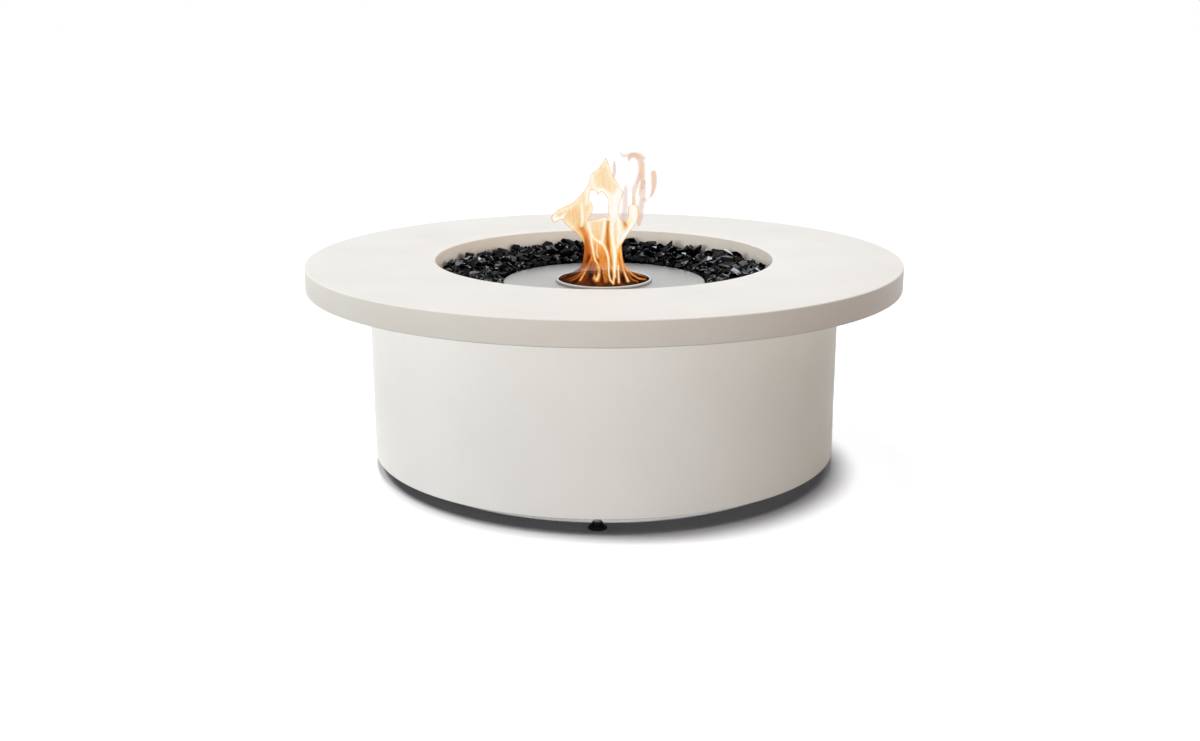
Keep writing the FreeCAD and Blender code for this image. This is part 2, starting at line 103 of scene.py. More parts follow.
# Sizes that the frame's boxes don't give. A round is the radius of a corner, and an edge is a fine one
OPENING = 356 * MM
WELL_WALL = 14 * MM
DECK = 20 * MM
RIM_DEPTH = 50 * MM
RIM_WALL = 20 * MM
RIM_DRAFT = 3 * MM
LEDGE_WIDTH = 22 * MM
LEDGE_THICKNESS = 18 * MM
LAND_MARGIN = 6 * MM
LAND_INNER = 430 * MM
CAST_ROUND = 3 * MM
RIBS = 8
RIB = 14 * MM
RIB_DEPTH = 24 * MM
RIB_ROUND = 2 * MM
RIB_BITE = 1 * MM
RIB_END_GAP = 4 * MM
DRUM_WALL = 14 * MM
DRUM_ROUND = 1.5 * MM
DRUM_COVE = 10 * MM
TOP_FLANGE = 18 * MM
FOOT_FLANGE = 34 * MM
FOOT_FLANGE_INNER = 438 * MM
STRIP_WIDTH = 20 * MM
STRIP_ROUND = 1 * MM
SHEET = 2 * MM
FOLD_ROUND = 1.6 * MM
SHEET_EDGE = 0.5 * MM
COLLAR_GAP = 5 * MM
COLLAR_FLANGE = 6 * MM
DRAINS = 4
DRAIN = 4 * MM
CASING_CORNER = 14 * MM
PLATE_ROUND = 1.8 * MM
MOUTH = 98 * MM
NECK_LIP = 8 * MM
LIP_EDGE = 0.3 * MM
VENTS = 18
VENT_WIDTH = 5 * MM
VENT_DROP = 14 * MM
VENT_HEIGHT = 18 * MM
FILL_HOLE = 34 * MM
BAFFLE_EDGE = 0.4 * MM
BAFFLE_SLOTS = 24
SLOT_WIDTH = 5 * MM
SLOT_LENGTH = 22 * MM
SLOT_FROM_EDGE = 13.5 * MM
LEVEL_STEP = 2 * MM
LEVEL_EDGE = 0.15 * MM
RING_GAP = 0.3 * MM
RING_WALL = 1.5 * MM
RING_EDGE = 0.4 * MM
BEAD_UNDERCUT = 1.6 * MM
BEAD_FOOT = 2.2 * MM
BEAD_FOOT_ROUND = 0.8 * MM
BEAD_OUTER_ROUND = 2.2 * MM
BEAD_INNER_ROUND = 2.6 * MM


def linear(code):
    """A hex colour as the linear values that a shader takes."""
    channels = [int(code[i:i + 2], 16) / 255 for i in (1, 3, 5)]
    return tuple(c / 12.92 if c <= 0.04045 else ((c + 0.055) / 1.055) ** 2.4 for c in channels) + (1,)


def add(tree, kind, settings=None, links=None):
    """Adds a node. Settings are sockets or attributes by name, and links join its inputs."""
    made = tree.nodes.new(kind)
    for name, value in (settings or {}).items():
        if isinstance(name, int) or name in made.inputs:
            made.inputs[name].default_value = value
        else:
            setattr(made, name, value)
    for name, source in (links or {}).items():
        tree.links.new(source, made.inputs[name])
    return made


def material(name, settings):
    """A new material, its node tree and its surface shader."""
    made = bpy.data.materials.new(name)
    made.use_nodes = True
    shader = made.node_tree.nodes["Principled BSDF"]
    for socket, value in settings.items():
        shader.inputs[socket].default_value = value
    return made, made.node_tree, shader


def place(tree, scale):
    """Object coordinates in units of scale metres."""
    spot = add(tree, "ShaderNodeTexCoord").outputs["Object"]
    stretch = [1 / s for s in scale] if isinstance(scale, tuple) else [1 / scale] * 3
    return add(tree, "ShaderNodeMapping", {"Scale": stretch}, {"Vector": spot}).outputs["Vector"]


def cast_composite(name, light, dark):
    """Cast fibre-reinforced concrete, rubbed down and sealed: a warm off-white with a dull sheen.

    The eye sees faint clouds where the pigment settled and, close by, the sand's grain, which is about
    1 mm on the real thing and drawn coarser so that it shows.
    """
    made, tree, shader = material(name, {"Roughness": 0.4, "IOR": 1.45, "Specular IOR Level": 0.12})
    clouds = add(tree, "ShaderNodeTexNoise", {"Scale": 1.0, "Detail": 5.0, "Roughness": 0.6},
                 {"Vector": place(tree, 220 * MM)})
    tint = add(tree, "ShaderNodeValToRGB", {}, {"Fac": clouds.outputs["Fac"]})
    low, high = tint.color_ramp.elements
    low.position, low.color = 0.3, linear(dark)
    high.position, high.color = 0.7, linear(light)
    tree.links.new(tint.outputs["Color"], shader.inputs["Base Color"])
    grain = add(tree, "ShaderNodeTexNoise", {"Scale": 1.0, "Detail": 3.0}, {"Vector": place(tree, 2.5 * MM)})
    bump = add(tree, "ShaderNodeBump", {"Strength": 0.12, "Distance": 0.15 * MM},
               {"Height": grain.outputs["Fac"]})
    tree.links.new(bump.outputs["Normal"], shader.inputs["Normal"])
    return made


def brushed_stainless():
    """Stainless sheet with a linear brushed finish: a grey with fine streaks along X.

    The belt's scratches are about 0.1 mm wide and are drawn at 0.9 mm, so that they show.
    """
    made, tree, shader = material("stainless_sheet_brushed", {"Metallic": 1.0, "Roughness": 0.34})
    streaks = add(tree, "ShaderNodeTexNoise", {"Scale": 1.0, "Detail": 4.0, "Roughness": 0.7},
                  {"Vector": place(tree, (60 * MM, 0.9 * MM, 0.9 * MM))})
    tint = add(tree, "ShaderNodeValToRGB", {}, {"Fac": streaks.outputs["Fac"]})
    low, high = tint.color_ramp.elements
    low.position, low.color = 0.3, linear("#B5B5B5")
    high.position, high.color = 0.7, linear("#C7C7C7")
    tree.links.new(tint.outputs["Color"], shader.inputs["Base Color"])
    rough = add(tree, "ShaderNodeMapRange", {"To Min": 0.3, "To Max": 0.4},
                {"Value": streaks.outputs["Fac"]})
    tree.links.new(rough.outputs["Result"], shader.inputs["Roughness"])
    bump = add(tree, "ShaderNodeBump", {"Strength": 0.1, "Distance": 0.05 * MM},
               {"Height": streaks.outputs["Fac"]})
    tree.links.new(bump.outputs["Normal"], shader.inputs["Normal"])
    return made


def polished_stainless():
    """Stainless turned and polished bright: near mirror, with faint turning marks, drawn 0.5 mm wide."""
    made, tree, shader = material("stainless_turned_polished",
                                  {"Metallic": 1.0, "Base Color": linear("#D2D0CC"), "Roughness": 0.16})
    marks = add(tree, "ShaderNodeTexNoise", {"Scale": 1.0, "Detail": 2.0},
                {"Vector": place(tree, (40 * MM, 40 * MM, 0.5 * MM))})
    rough = add(tree, "ShaderNodeMapRange", {"To Min": 0.12, "To Max": 0.22},
                {"Value": marks.outputs["Fac"]})
    tree.links.new(rough.outputs["Result"], shader.inputs["Roughness"])
    return made


def heat_tinted_stainless():
    """Stainless inside the burner's mouth, browned by heat and soot in stains some 30 mm wide."""
    made, tree, shader = material("stainless_sheet_heat_tinted", {"Metallic": 1.0, "Roughness": 0.38})
    stain = add(tree, "ShaderNodeTexNoise", {"Scale": 1.0, "Detail": 5.0}, {"Vector": place(tree, 30 * MM)})
    tint = add(tree, "ShaderNodeValToRGB", {}, {"Fac": stain.outputs["Fac"]})
    low, high = tint.color_ramp.elements
    low.position, low.color = 0.35, linear("#3C261B")
    high.position, high.color = 0.7, linear("#68432E")
    tree.links.new(tint.outputs["Color"], shader.inputs["Base Color"])
    return made


def fire_glass():
    """Tempered black glass, broken: near black, with glints off its clean, faintly shell-shaped faces."""
    made, tree, shader = material("fire_glass_black_broken",
                                  {"Roughness": 0.05, "IOR": 1.52, "Specular IOR Level": 0.13})
    patches = add(tree, "ShaderNodeTexNoise", {"Scale": 1.0, "Detail": 2.0}, {"Vector": place(tree, 14 * MM)})
    tint = add(tree, "ShaderNodeValToRGB", {}, {"Fac": patches.outputs["Fac"]})
    low, high = tint.color_ramp.elements
    low.position, low.color = 0.35, linear("#040405")
    high.position, high.color = 0.75, linear("#0F1013")
    tree.links.new(tint.outputs["Color"], shader.inputs["Base Color"])
    ripples = add(tree, "ShaderNodeTexNoise", {"Scale": 1.0, "Detail": 1.0}, {"Vector": place(tree, 9 * MM)})
    bump = add(tree, "ShaderNodeBump", {"Strength": 0.3, "Distance": 1.2 * MM},
               {"Height": ripples.outputs["Fac"]})
    tree.links.new(bump.outputs["Normal"], shader.inputs["Normal"])
    return made


def powder_coat():
    """Polyester powder coat on steel, baked: black with an orange peel of about 1.5 mm."""
    made, tree, shader = material("steel_powder_coated_black",
                                  {"Base Color": linear("#1B1B1C"), "Roughness": 0.45})
    peel = add(tree, "ShaderNodeTexNoise", {"Scale": 1.0, "Detail": 1.0}, {"Vector": place(tree, 1.5 * MM)})
    bump = add(tree, "ShaderNodeBump", {"Strength": 0.2, "Distance": 0.1 * MM},
               {"Height": peel.outputs["Fac"]})
    tree.links.new(bump.outputs["Normal"], shader.inputs["Normal"])
    return made


def metal(name, shade, roughness, mottle):
    """A plated or cast metal, mottled over a few millimetres."""
    made, tree, shader = material(name, {"Metallic": 1.0, "Roughness": roughness})
    spots = add(tree, "ShaderNodeTexNoise", {"Scale": 1.0, "Detail": 3.0}, {"Vector": place(tree, 6 * MM)})
    tint = add(tree, "ShaderNodeValToRGB", {}, {"Fac": spots.outputs["Fac"]})
    low, high = tint.color_ramp.elements
    low.position, low.color = 0.3, linear(mottle)
    high.position, high.color = 0.7, linear(shade)
    tree.links.new(tint.outputs["Color"], shader.inputs["Base Color"])
    return made


def moulded(name, shade, roughness, grain):
    """A moulded rubber or plastic: dull, with the mould's fine grain drawn somewhat coarser to show."""
    made, tree, shader = material(name, {"Base Color": linear(shade), "Roughness": roughness,
                                         "Specular IOR Level": 0.12})
    pores = add(tree, "ShaderNodeTexNoise", {"Scale": 1.0, "Detail": 2.0}, {"Vector": place(tree, grain)})
    bump = add(tree, "ShaderNodeBump", {"Strength": 0.25, "Distance": 0.08 * MM},
               {"Height": pores.outputs["Fac"]})
    tree.links.new(bump.outputs["Normal"], shader.inputs["Normal"])
    return made


CAST = cast_composite("cast_composite_sealed", "#F2F1ED", "#EDEBE6")
# A darker, warmer copy of the cast for the well's upright inner wall: painted shade, for the wall lying in
# shade below the rim
WELL_CAST_PAINTED_SHADE = cast_composite("cast_composite_painted_well_shade", "#E8E3DC", "#E0D9D0")
BRUSHED = brushed_stainless()
POLISHED = polished_stainless()
HEATED = heat_tinted_stainless()
GLASS = fire_glass()
POWDER = powder_coat()
ZINC = metal("steel_zinc_plated", "#C9CBCC", 0.32, "#AEB2B5")
BRASS = metal("brass_cast", "#C7A25C", 0.35, "#A98544")
RUBBER = moulded("rubber_moulded_black", "#161616", 0.7, 0.8 * MM)
NYLON = moulded("nylon_moulded_black", "#060607", 0.35, 0.6 * MM)


def as_mesh(bm, name):
    """The shape as a mesh."""
    mesh = bpy.data.meshes.new(name)
    bm.to_mesh(mesh)
    bm.free()
    return mesh


def take_in(bm, mesh):
    """Adds a mesh to the shape, and drops the mesh."""
    bm.from_mesh(mesh)
    bpy.data.meshes.remove(mesh)
    return bm


def put(name, data):
    """A new object in the scene."""
    made = bpy.data.objects.new(name, data)
    bpy.context.scene.collection.objects.link(made)
    return made


def finished(bm, name, body, coat, nodes, smooth_angle=30):
    """Makes the shape a piece of the object, with its body, its finish and the nodes that it stands for."""
    mesh = as_mesh(bm, name)
    mesh.materials.append(coat)
    if smooth_angle:
        mesh.shade_smooth()
        mesh.set_sharp_from_angle(angle=math.radians(smooth_angle))
    piece = put(name, mesh)
    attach(piece, body)
    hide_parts(*nodes)
    return piece


def spun(bm, corners, steps=STEPS):
    """Adds a closed outline of (radius, height, round), spun about the centre line."""
    known = set(bm.verts)
    verts = [bm.verts.new((radius, 0, height)) for radius, height, _ in corners]
    bm.faces.new(verts)
    for vert, (_, _, extent) in zip(verts, corners):
        if extent:
            bmesh.ops.bevel(bm, geom=[vert], offset=extent, offset_type="OFFSET", segments=ROUND_SEGMENTS,
                            profile=0.5, affect="VERTICES", material=-1)
    ring = [v for v in bm.verts if v not in known]
    outline = [f for f in bm.faces if set(f.verts) <= set(ring)]
    bmesh.ops.delete(bm, geom=outline, context="FACES_ONLY")
    edges = [e for e in bm.edges if e.verts[0] not in known and e.verts[1] not in known]
    bmesh.ops.spin(bm, geom=ring + edges, cent=(0, 0, 0), axis=(0, 0, 1), dvec=(0, 0, 0), angle=math.tau,
                   steps=steps, use_merge=True, use_normal_flip=False, use_duplicate=False)
    bmesh.ops.remove_doubles(bm, verts=[v for v in bm.verts if v not in known], dist=SAME_POINT)
    bmesh.ops.recalc_face_normals(bm, faces=[f for f in bm.faces if f.verts[0] not in known])


# A thread's crest, as shares of its pitch, and its root and core, as shares of its radius
CREST = (0.45, 0.55)
THREAD_ROOT = 0.8
THREAD_CORE = 0.83


def wound(bm, radius, pitch, low, high):
    """Adds a screw thread's ridge, wound right-handed about the centre line between two heights."""
    root = THREAD_ROOT * radius
    rounds = (high - low) / pitch - 1
    section = bm.faces.new([bm.verts.new(spot) for spot in (
        (root, 0, low), (radius, 0, low + pitch * CREST[0]), (radius, 0, low + pitch * CREST[1]),
        (root, 0, low + pitch))])
    bmesh.ops.spin(bm, geom=[section], cent=(0, 0, 0), axis=(0, 0, 1), angle=math.tau * rounds,
                   dvec=(0, 0, pitch / THREAD_STEPS), steps=round(rounds * THREAD_STEPS),
                   use_merge=False, use_normal_flip=False, use_duplicate=False)
    bmesh.ops.recalc_face_normals(bm, faces=bm.faces)


def hexagonal(bm, flats):
    """Cuts a turned blank down to a hexagon of this size across its flats."""
    for side in range(6):
        angle = math.radians(60 * side)
        way = Vector((math.cos(angle), math.sin(angle), 0))
        sliced = bmesh.ops.bisect_plane(bm, geom=bm.verts[:] + bm.edges[:] + bm.faces[:], dist=ON_THE_CUT,
                                        plane_co=way * flats / 2, plane_no=way, clear_outer=True)
        loop = [e for e in sliced["geom_cut"] if isinstance(e, bmesh.types.BMEdge)]
        bmesh.ops.contextual_create(bm, geom=loop)
    bmesh.ops.recalc_face_normals(bm, faces=bm.faces)


# A hexagon's chamfer: how wide the flat end stays, as a share of the flats, and its slope. The blank is a
# hair wider than the hexagon's corners
CHAMFER_FACE = 0.95
CHAMFER = math.radians(30)
BLANK = 1.001
BORE_CHAMFER = 0.4 * MM


def hex_blank(flats, low, high, bore=0, chamfered=(True, True)):
    """A hexagonal nut or head, with its corners chamfered as if turned, below and above as told."""
    face = CHAMFER_FACE * flats / 2
    corner = BLANK * flats / 2 / math.cos(math.radians(30))
    drop = (corner - face) * math.tan(CHAMFER)
    outline = [(face, low, 0), (corner, low + drop, 0)] if chamfered[0] else [(corner, low, 0)]
    outline += [(corner, high - drop, 0), (face, high, 0)] if chamfered[1] else [(corner, high, 0)]
    if bore:
        outline += [(bore + BORE_CHAMFER, high, 0), (bore, high - BORE_CHAMFER, 0),
                    (bore, low + BORE_CHAMFER, 0), (bore + BORE_CHAMFER, low, 0)]
    else:
        outline += [(0, high, 0), (0, low, 0)]
    bm = bmesh.new()
    spun(bm, outline, steps=HARDWARE_STEPS)
    hexagonal(bm, flats)
    return bm


def joined(*shapes):
    """The shapes as one, each still closed in itself."""
    bm = bmesh.new()
    for shape in shapes:
        take_in(bm, as_mesh(shape, "joined"))
    return bm


def turns(count, start=0):
    """Turns about the centre line, evenly spaced, with the first one start steps on."""
    return [Matrix.Rotation(math.tau * (number + start) / count, 4, "Z") for number in range(count)]


def round_spot(circle, angle):
    """The place at this angle on a circle round the centre line."""
    return Matrix.Rotation(math.radians(angle), 4, "Z") @ Vector((circle, 0, 0))


def set_round(shape, circle, start, places):
    """Copies of a piece set evenly on a circle round the centre line."""
    mesh = as_mesh(shape, "set_round")
    bm = bmesh.new()
    spot = Matrix.Translation(round_spot(circle, start))
    for turn in turns(places):
        count = len(bm.verts)
        bm.from_mesh(mesh)
        bmesh.ops.transform(bm, matrix=turn @ spot, verts=bm.verts[count:])
    bpy.data.meshes.remove(mesh)
    return bm


# A slot's end is rounded by just under half its width, so that its two corners don't meet
SLOT_ROUND = 0.499


def slot_cutter(bm, length, width, depth, matrix):
    """Adds a prism with round ends: length along its own X, width along Y and depth along Z."""
    known = set(bm.verts)
    made = bmesh.ops.create_cube(bm, size=1, matrix=Matrix.Diagonal((length, width, depth, 1)))
    sides = [e for e in {e for v in made["verts"] for e in v.link_edges}
             if abs(e.verts[0].co.z - e.verts[1].co.z) > depth / 2]
    bmesh.ops.bevel(bm, geom=sides, offset=SLOT_ROUND * width, offset_type="OFFSET", segments=SLOT_SEGMENTS,
                    profile=0.5, affect="EDGES", material=-1)
    bmesh.ops.transform(bm, matrix=matrix, verts=[v for v in bm.verts if v not in known])


def cut_out(bm, tools):
    """The shape with the tools' shape taken out of it."""
    body, tool = [put("cut_out", as_mesh(shape, "cut_out")) for shape in (bm, tools)]
    step = body.modifiers.new("cut_out", "BOOLEAN")
    step.operation, step.solver, step.object = "DIFFERENCE", "EXACT", tool
    mesh = bpy.data.meshes.new_from_object(body.evaluated_get(bpy.context.evaluated_depsgraph_get()))
    for thing in (body, tool):
        bpy.data.meshes.remove(thing.data)
    return take_in(bmesh.new(), mesh)


def table_top():
    """The cast top with its rim, land, ribs, well wall and ledge, softly rounded where the mould was."""
    bm = bmesh.new()
    deck_bottom = TABLE_TOP - DECK
    rim_bottom = TABLE_TOP - RIM_DEPTH
    ledge_top = WELL_BOTTOM + LEDGE_THICKNESS
    spun(bm, [
        (OPENING, TABLE_TOP, CAST_ROUND),
        (RIM, TABLE_TOP, CAST_ROUND),
        (RIM, rim_bottom, CAST_ROUND),
        (RIM - RIM_WALL, rim_bottom, CAST_ROUND),
        (RIM - RIM_WALL - RIM_DRAFT, deck_bottom, 0),
        (DRUM + LAND_MARGIN, deck_bottom, 0),
        (DRUM + LAND_MARGIN, STRIP_TOP, 0),
        (LAND_INNER, STRIP_TOP, 0),
        (LAND_INNER, deck_bottom, 0),
        (OPENING + WELL_WALL, deck_bottom, 0),
        (OPENING + WELL_WALL, WELL_BOTTOM, CAST_ROUND),
        (OPENING - LEDGE_WIDTH, WELL_BOTTOM, CAST_ROUND),
        (OPENING - LEDGE_WIDTH, ledge_top, CAST_ROUND),
        (OPENING, ledge_top, 0),
    ])
    spans = [(DRUM + LAND_MARGIN - RIB_BITE, RIM - RIM_WALL),
             (OPENING + WELL_WALL / 2, LAND_INNER - RIB_END_GAP)]
    for start, end in spans:
        for turn in turns(RIBS, 0.5):
            middle = Matrix.Translation(((start + end) / 2, 0, deck_bottom - RIB_DEPTH / 2 + RIB_BITE))
            shape = Matrix.Diagonal((end - start, RIB, RIB_DEPTH, 1))
            made = bmesh.ops.create_cube(bm, size=1, matrix=turn @ middle @ shape)
            low = [e for e in {e for v in made["verts"] for e in v.link_edges}
                   if all(v.co.z < deck_bottom - RIB_DEPTH / 2 for v in e.verts)]
            bmesh.ops.bevel(bm, geom=low, offset=RIB_ROUND, offset_type="OFFSET", segments=RIB_SEGMENTS,
                            profile=0.5, affect="EDGES", material=-1)
    # Faces of the upright well wall take the second material, the darker copy of the cast that paints the
    # shade inside the well
    for face in bm.faces:
        out = math.hypot(*face.calc_center_median().xy)
        upright = face.normal.xy.length > 0.9
        face.material_index = 1 if upright and abs(out - OPENING) < MM / 4 else 0
    made = finished(bm, "cast_top", "table", CAST, ["table_top"])
    made.data.materials.append(WELL_CAST_PAINTED_SHADE)
    return made


def base_drum():
    """The cast drum: a wall with a flange for the top and a thicker one for the feet."""
    bm = bmesh.new()
    flange_bottom = DRUM_TOP - TOP_FLANGE
    inside = DRUM - DRUM_WALL
    spun(bm, [
        (DRUM, DRUM_BOTTOM, DRUM_ROUND),
        (DRUM, DRUM_TOP, CAST_ROUND),
        (LAND_INNER, DRUM_TOP, 0),
        (LAND_INNER, flange_bottom, CAST_ROUND),
        (inside, flange_bottom, DRUM_COVE),
        (inside, DRUM_BOTTOM + FOOT_FLANGE, DRUM_COVE),
        (FOOT_FLANGE_INNER, DRUM_BOTTOM + FOOT_FLANGE, CAST_ROUND),
        (FOOT_FLANGE_INNER, DRUM_BOTTOM, CAST_ROUND),
    ])
    return finished(bm, "cast_drum", "table", CAST, ["base_drum"])


def bedding_strip():
    """The rubber strip that the top beds on."""
    bm = bmesh.new()
    spun(bm, [
        (STRIP_OUTER - STRIP_WIDTH, DRUM_TOP, 0),
        (STRIP_OUTER, DRUM_TOP, STRIP_ROUND),
        (STRIP_OUTER, STRIP_TOP, STRIP_ROUND),
        (STRIP_OUTER - STRIP_WIDTH, STRIP_TOP, 0),
    ])
    finished(bm, "bedding_rubber", "table", RUBBER, ["bedding_strip"])


def insert_tray():
    """The folded steel pan that carries the glass, with a collar round the burner and drain holes."""
    bm = bmesh.new()
    collar = CASING + COLLAR_GAP
    floor = TRAY_BOTTOM + SHEET
    spun(bm, [
        (collar, TRAY_BOTTOM, 0),
        (TRAY, TRAY_BOTTOM, FOLD_ROUND),
        (TRAY, TRAY_TOP, SHEET_EDGE),
        (TRAY - SHEET, TRAY_TOP, SHEET_EDGE),
        (TRAY - SHEET, floor, 0),
        (collar + SHEET, floor, 0),
        (collar + SHEET, CASING_TOP - SHEET, 0),
        (collar + COLLAR_FLANGE, CASING_TOP - SHEET, 0),
        (collar + COLLAR_FLANGE, CASING_TOP, SHEET_EDGE),
        (collar, CASING_TOP, SHEET_EDGE),
    ])
    tools = bmesh.new()
    for turn in turns(DRAINS):
        spot = Matrix.Translation(((collar + TRAY) / 2, 0, TRAY_BOTTOM + SHEET / 2))
        bmesh.ops.create_cone(tools, cap_ends=True, segments=DRAIN_SEGMENTS, radius1=DRAIN, radius2=DRAIN,
                              depth=2 * SHEET, matrix=turn @ spot)
    finished(cut_out(bm, tools), "glass_tray", "insert_tray", POWDER, ["insert_tray"])


def fuel_casing():
    """The deep-drawn fuel vessel under the plate, open at its top."""
    bm = bmesh.new()
    spun(bm, [
        (0, CASING_BOTTOM, 0),
        (CASING, CASING_BOTTOM, CASING_CORNER),
        (CASING, CASING_TOP, 0),
        (CASING - SHEET, CASING_TOP, 0),
        (CASING - SHEET, CASING_BOTTOM + SHEET, CASING_CORNER - SHEET),
        (0, CASING_BOTTOM + SHEET, 0),
    ])
    finished(bm, "fuel_casing", "burner", BRUSHED, ["burner_casing"])


def top_plate():
    """The round plate that shows, with its mouth and a turned-down edge."""
    bm = bmesh.new()
    bottom = PLATE_TOP - SHEET
    spun(bm, [
        (MOUTH, bottom, 0),
        (PLATE - SHEET, bottom, 0),
        (PLATE - SHEET, PLATE_BOTTOM, 0),
        (PLATE, PLATE_BOTTOM, LIP_EDGE),
        (PLATE, PLATE_TOP, PLATE_ROUND),
        (MOUTH, PLATE_TOP, SHEET_EDGE),
    ])
    finished(bm, "top_plate", "burner", BRUSHED, ["burner_top_plate"])


def neck():
    """The tube under the mouth: a folded lip for the baffle and a row of vents for the vapour."""
    bm = bmesh.new()
    top = PLATE_TOP - SHEET
    spun(bm, [
        (MOUTH, top, 0),
        (MOUTH + SHEET, top, 0),
        (MOUTH + SHEET, NECK_BOTTOM, FOLD_ROUND),
        (MOUTH - NECK_LIP, NECK_BOTTOM, LIP_EDGE),
        (MOUTH - NECK_LIP, NECK_BOTTOM + SHEET, LIP_EDGE),
        (MOUTH, NECK_BOTTOM + SHEET, 0),
    ])
    tools = bmesh.new()
    level = top - VENT_DROP - VENT_HEIGHT / 2
    for turn in turns(VENTS):
        outwards = Matrix.Translation((MOUTH + SHEET / 2, 0, level)) @ Matrix.Rotation(math.pi / 2, 4, "Y")
        slot_cutter(tools, VENT_HEIGHT, VENT_WIDTH, 4 * SHEET, turn @ outwards)
    finished(cut_out(bm, tools), "vented_neck", "burner", HEATED, ["burner_neck"])


def baffle():
    """The slotted disc at the foot of the neck, with its fill hole."""
    bm = bmesh.new()
    low, high = foot_of("flame_baffle"), top_of("flame_baffle")
    edge = reach_of("flame_baffle")
    spun(bm, [
        (FILL_HOLE, low, BAFFLE_EDGE),
        (edge, low, BAFFLE_EDGE),
        (edge, high, BAFFLE_EDGE),
        (FILL_HOLE, high, BAFFLE_EDGE),
    ])
    tools = bmesh.new()
    for turn in turns(BAFFLE_SLOTS):
        spot = Matrix.Translation((edge - SLOT_FROM_EDGE - SLOT_LENGTH / 2, 0, (low + high) / 2))
        slot_cutter(tools, SLOT_LENGTH, SLOT_WIDTH, 4 * (high - low), turn @ spot)
    finished(cut_out(bm, tools), "slotted_baffle", "burner", HEATED, ["flame_baffle"])


def level_strip():
    """The stepped strip that shows how deep the fuel is: each step is a mark."""
    bm = bmesh.new()
    (left, front, low), (right, back, high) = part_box("fuel_level_strip")
    drop = (high - low) / 3
    corners = [(left, low), (right - 2 * LEVEL_STEP, low), (right - 2 * LEVEL_STEP, low + drop),
               (right - LEVEL_STEP, low + drop), (right - LEVEL_STEP, low + 2 * drop),
               (right, low + 2 * drop), (right, high), (left, high)]
    face = bm.faces.new([bm.verts.new((x, front, z)) for x, z in corners])
    made = bmesh.ops.extrude_face_region(bm, geom=[face])
    moved = [v for v in made["geom"] if isinstance(v, bmesh.types.BMVert)]
    bmesh.ops.translate(bm, verts=moved, vec=(0, back - front, 0))
    bmesh.ops.recalc_face_normals(bm, faces=bm.faces)
    bmesh.ops.bevel(bm, geom=bm.edges[:], offset=LEVEL_EDGE, offset_type="OFFSET", segments=1, profile=0.5,
                    affect="EDGES", material=-1)
    finished(bm, "level_strip", "burner", BRUSHED, ["fuel_level_strip"])


def efficiency_ring():
    """The bright ring that lifts out of the mouth: a rounded bead and a skirt."""
    bm = bmesh.new()
    inner = MOUTH - RING_GAP - RING_WALL
    spun(bm, [
        (inner, RING_BOTTOM, RING_EDGE),
        (MOUTH - RING_GAP, RING_BOTTOM, RING_EDGE),
        (MOUTH - RING_GAP, PLATE_TOP, 0),
        (RING - BEAD_UNDERCUT, PLATE_TOP, 0),
        (RING, PLATE_TOP + BEAD_FOOT, BEAD_FOOT_ROUND),
        (RING, RING_TOP, BEAD_OUTER_ROUND),
        (inner, RING_TOP, BEAD_INNER_ROUND),
    ])
    finished(bm, "mouth_ring", "efficiency_ring", POLISHED, ["efficiency_ring"],
             smooth_angle=50)


# The small hardware. BOLT and STUD are radii, flats are sizes across a hexagon, and a gap keeps threads apart
BOLTS = 4
BOLT_CIRCLE = 447 * MM
BOLT_START = 45
BOLT = 4 * MM
BOLT_PITCH = 1.25 * MM
BOLT_FLATS = 13 * MM
BOLT_HEAD = 5.3 * MM
BOLT_SHANK = 12 * MM
BOLT_SHANK_ROUND = 0.3 * MM
BOLT_POINT = 0.8 * MM
BOLT_TIP = 0.7
BOLT_RUNOUT = 0.5 * MM
WASHER = 8 * MM
WASHER_CLEARANCE = 0.5 * MM
WASHER_EDGE = 0.2 * MM
WASHER_ROUND = 0.4 * MM
INSERT_FLATS = 13 * MM
FEET = [("front", -90), ("right", 0), ("back", 90), ("left", 180)]
FOOT_CIRCLE = 470 * MM
FOOT_START = -90
FOOT_INSERT_FLATS = 17 * MM
NUT_FLATS = 17 * MM
THREAD_GAP = 0.05 * MM
STUD = 5 * MM
STUD_PITCH = 1.5 * MM
STUD_FLATS = 14 * MM
STUD_ROUND = 0.8 * MM
STUD_POINT = 1 * MM
STUD_TIP = STUD - 1.6 * STUD_POINT
STUD_RUNIN = 0.3 * MM
STUD_RUNOUT = 0.6 * STUD_POINT
PAD = 18.5 * MM
PAD_RIM = 3 * MM
PAD_FOOT_ROUND = 0.6 * MM
PAD_ROUND = 0.8 * MM
PAD_FLARE = 1.5 * MM
PAD_FLARE_HEIGHT = 3.5 * MM
PAD_FLARE_ROUND = 2 * MM
PAD_NECK = 9.5 * MM
PAD_TOP = 13 * MM
PAD_FLOOR = 5 * MM
PAD_BORE = STUD + THREAD_GAP
PAD_BORE_ROUND = 0.5 * MM
PAD_NOTCHES = 24
NOTCH = 0.7 * MM


def top_bolt():
    """A bolt that points up: a hexagon head, a smooth shank and a thread with a chamfered end."""
    low, high = foot_of("top_bolts"), top_of("top_bolts")
    head_top = low + BOLT_HEAD
    thread = head_top + BOLT_SHANK
    bm = bmesh.new()
    spun(bm, [
        (0, head_top, 0),
        (BOLT, head_top, 0),
        (BOLT, thread, BOLT_SHANK_ROUND),
        (THREAD_CORE * BOLT, thread + BOLT_RUNOUT, 0),
        (THREAD_CORE * BOLT, high - BOLT_POINT, 0),
        (BOLT_TIP * BOLT, high, 0),
        (0, high, 0),
    ], steps=HARDWARE_STEPS)
    wound(bm, BOLT, BOLT_PITCH, thread, high - BOLT_RUNOUT)
    return joined(hex_blank(BOLT_FLATS, low, head_top, chamfered=(True, False)), bm)


